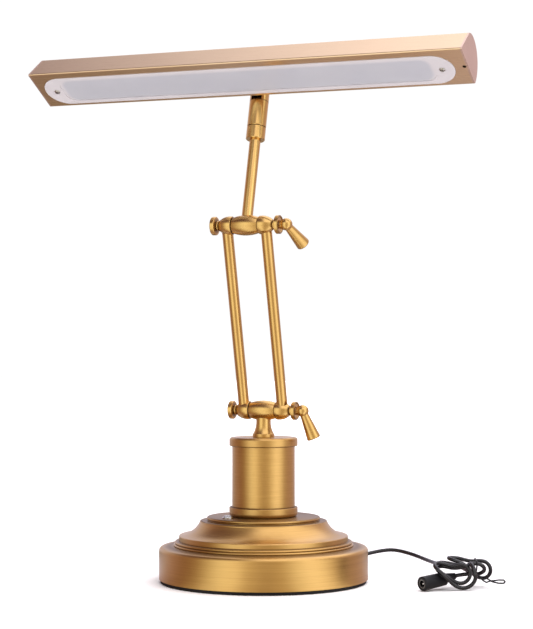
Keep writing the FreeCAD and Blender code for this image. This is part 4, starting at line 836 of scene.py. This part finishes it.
# %% Twist the tie
TIE_WIRE = 0.0013
WAIST = 178.5
WAIST_RING = [
    (24.9, 10.2), (25.6, 7.6), (28.6, 7.0), (33.0, 8.0), (38.2, 9.4), (43.2, 13.6), (47.3, 18.4),
    (48.0, 21.4), (45.8, 23.3), (40.0, 23.8), (33.0, 24.0), (30.3, 22.4), (27.2, 15.6),
]
TAIL_LINE = [
    (178.5, 40.5, 11.4), (181.0, 43.2, 9.6), (183.6, 44.6, 7.6), (185.0, 45.2, 7.0), (186.7, 45.8, 7.0),
    (188.4, 46.2, 7.0), (190.0, 46.6, 6.7), (192.2, 47.0, 6.3), (196.6, 47.6, 6.2), (200.8, 48.0, 6.2),
    (202.0, 48.1, 6.2),
]
TAIL_SPREAD = [0.5, 0.5, 0.55, 0.9, 1.7, 0.9, 0.5, 0.5, 1.35, 1.35, 0.0]
TAIL_TURNS = [0, 150, 330, 360, 360, 360, 430, 540, 540, 540, 540]
STEPS = 6


def tie_end(sign):
    """One of the tie's two ends: the middle line moved out by the spread, turning as it goes."""
    stations = [(*middle, out, turn) for middle, out, turn in zip(TAIL_LINE, TAIL_SPREAD, TAIL_TURNS)]
    path = []
    for step in range(STEPS * (len(stations) - 1) + 1):
        before = min(step // STEPS, len(stations) - 2)
        share = step / STEPS - before
        right, forward, height, out, turn = [
            a + (b - a) * share for a, b in zip(stations[before], stations[before + 1])]
        turned = math.radians(turn)
        outward = sign * out * math.sin(turned)
        upward = sign * out * math.cos(turned)
        path.append(spot(right, forward + outward, height + upward))
    return path


ring_points = [spot(WAIST, forward, height) for forward, height in WAIST_RING]
tie_ring = smooth_cable("tie_ring", ring_points, TIE_WIRE, closed=True, along_steps=4, round_steps=3)
tail_points = tie_end(1) + tie_end(-1)[::-1][1:]
tie_tail = smooth_cable("tie_tail", tail_points, TIE_WIRE, along_steps=4, round_steps=3)
for wire_piece in (tie_ring, tie_tail):
    wire_piece.data.materials.append(small["soft_black"])
    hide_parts("twist_tie")
    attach(wire_piece, "base")
print("tie made of", tie_ring.name, "and", tie_tail.name)

# %% [markdown]
# ## Screws of the cover
#
# Two small pan-head screws hold the opal panel. The workshop gives their size and seat. The cross in each
# head is cut here, because at this size it is the dark cross that makes a screw look like a screw. A profile
# is spun into the screw, and two crossed wedges are shaped like the driver's tip.

# %% Shape a screw and a driver's tip
SCREW_SIDES = 40
HEAD_PROFILE = [
    (0.0, -1.25), (1.1, -1.22), (1.9, -1.0), (2.4, -0.6), (2.6, -0.15), (2.6, 0.0), (1.1, 0.0), (1.1, 5.9),
    (0.0, 6.2),
]
WEDGE_MOUTH, WEDGE_TIP = (1.75, 0.42, -1.6), (0.6, 0.25, 0.5)
CORNER_SIGNS = ((-1, -1), (1, -1), (1, 1), (-1, 1))
WEDGE_FACES = ((0, 1, 2, 3), (7, 6, 5, 4), (0, 4, 5, 1), (1, 5, 6, 2), (2, 6, 7, 3), (3, 7, 4, 0))


def spin_profile(profile):
    """A turned solid about Z from (radius, height) pairs in millimetres."""
    shape = bmesh.new()
    rings = []
    for radius, height in profile:
        if radius == 0:
            rings.append([shape.verts.new((0, 0, height * MM))])
            continue
        rings.append([shape.verts.new((radius * MM * math.cos(2 * math.pi * side / SCREW_SIDES),
                                       radius * MM * math.sin(2 * math.pi * side / SCREW_SIDES), height * MM))
                      for side in range(SCREW_SIDES)])
    for low_ring, high_ring in zip(rings, rings[1:]):
        for side in range(SCREW_SIDES):
            after = (side + 1) % SCREW_SIDES
            corners = [low_ring[side % len(low_ring)], low_ring[after % len(low_ring)],
                       high_ring[after % len(high_ring)], high_ring[side % len(high_ring)]]
            shape.faces.new(list(dict.fromkeys(corners)))
    bmesh.ops.recalc_face_normals(shape, faces=shape.faces)
    return shape


def cross_wedges():
    """Two crossed tapered blades, as large as the driver's tip."""
    shape = bmesh.new()
    corners = [(x * half_long, y * half_wide, height)
               for half_long, half_wide, height in (WEDGE_MOUTH, WEDGE_TIP) for x, y in CORNER_SIGNS]
    for quarter in (0, 1):
        turn = Matrix.Rotation(quarter * math.pi / 2, 3, "Z")
        verts = [shape.verts.new(turn @ Vector(corner) * MM) for corner in corners]
        for face in WEDGE_FACES:
            shape.faces.new([verts[index] for index in face])
    bmesh.ops.recalc_face_normals(shape, faces=shape.faces)
    return shape


print("points in the screw's profile:", len(HEAD_PROFILE))

# %% [markdown]
# ## Cut and seat the screws
#
# The wedges are taken out of the head, and each screw goes to its place near one end of the panel. The two
# crosses are turned differently, as they are after the screws are driven home.

# %% Cut the cover screws
SCREW_REACH = 175
SCREW_SEAT = -0.4
SCREW_TURNS = {-1: 70, 1: 120}
SHARP_EDGE = math.radians(35)


def object_from(name, shape):
    """An object from a shape that is then let go."""
    mesh = bpy.data.meshes.new(name)
    shape.to_mesh(mesh)
    shape.free()
    return add_object(name, mesh)


def cut_with(thing, cutter):
    """The thing with the cutter's shape taken out, as a plain mesh. The cutter is thrown away."""
    cut = thing.modifiers.new("cut", "BOOLEAN")
    cut.operation = "DIFFERENCE"
    cut.solver = "EXACT"
    cut.use_self = True
    cut.object = cutter
    bpy.context.view_layer.update()
    shaped = bpy.data.meshes.new_from_object(thing.evaluated_get(bpy.context.evaluated_depsgraph_get()))
    thing.modifiers.clear()
    thing.data = shaped
    bpy.data.objects.remove(cutter)
    return thing


HEAD_FRAME = Matrix.Translation(HEAD_AT) @ Matrix.Rotation(HEAD_SLOPE, 4, "X")
for number, (end, turn) in enumerate(SCREW_TURNS.items(), 1):
    screw = cut_with(object_from(f"cover_screw_{number}", spin_profile(HEAD_PROFILE)),
                     object_from("driver_tip", cross_wedges()))
    seat_at = Vector((PANEL_MIDDLE_RUN + end * SCREW_REACH, PANEL_MIDDLE_ACROSS, SCREW_SEAT)) * MM
    seat = HEAD_FRAME @ Matrix.Translation(seat_at)
    screw.data.transform(seat @ Matrix.Rotation(math.radians(turn), 4, "Z"))
    screw.data.shade_smooth()
    screw.data.set_sharp_from_angle(angle=SHARP_EDGE)
    screw.data.materials.append(small["plated_steel"])
    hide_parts("diffuser_screws")
    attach(screw, "head")
print("cover screws cut:", len(SCREW_TURNS))
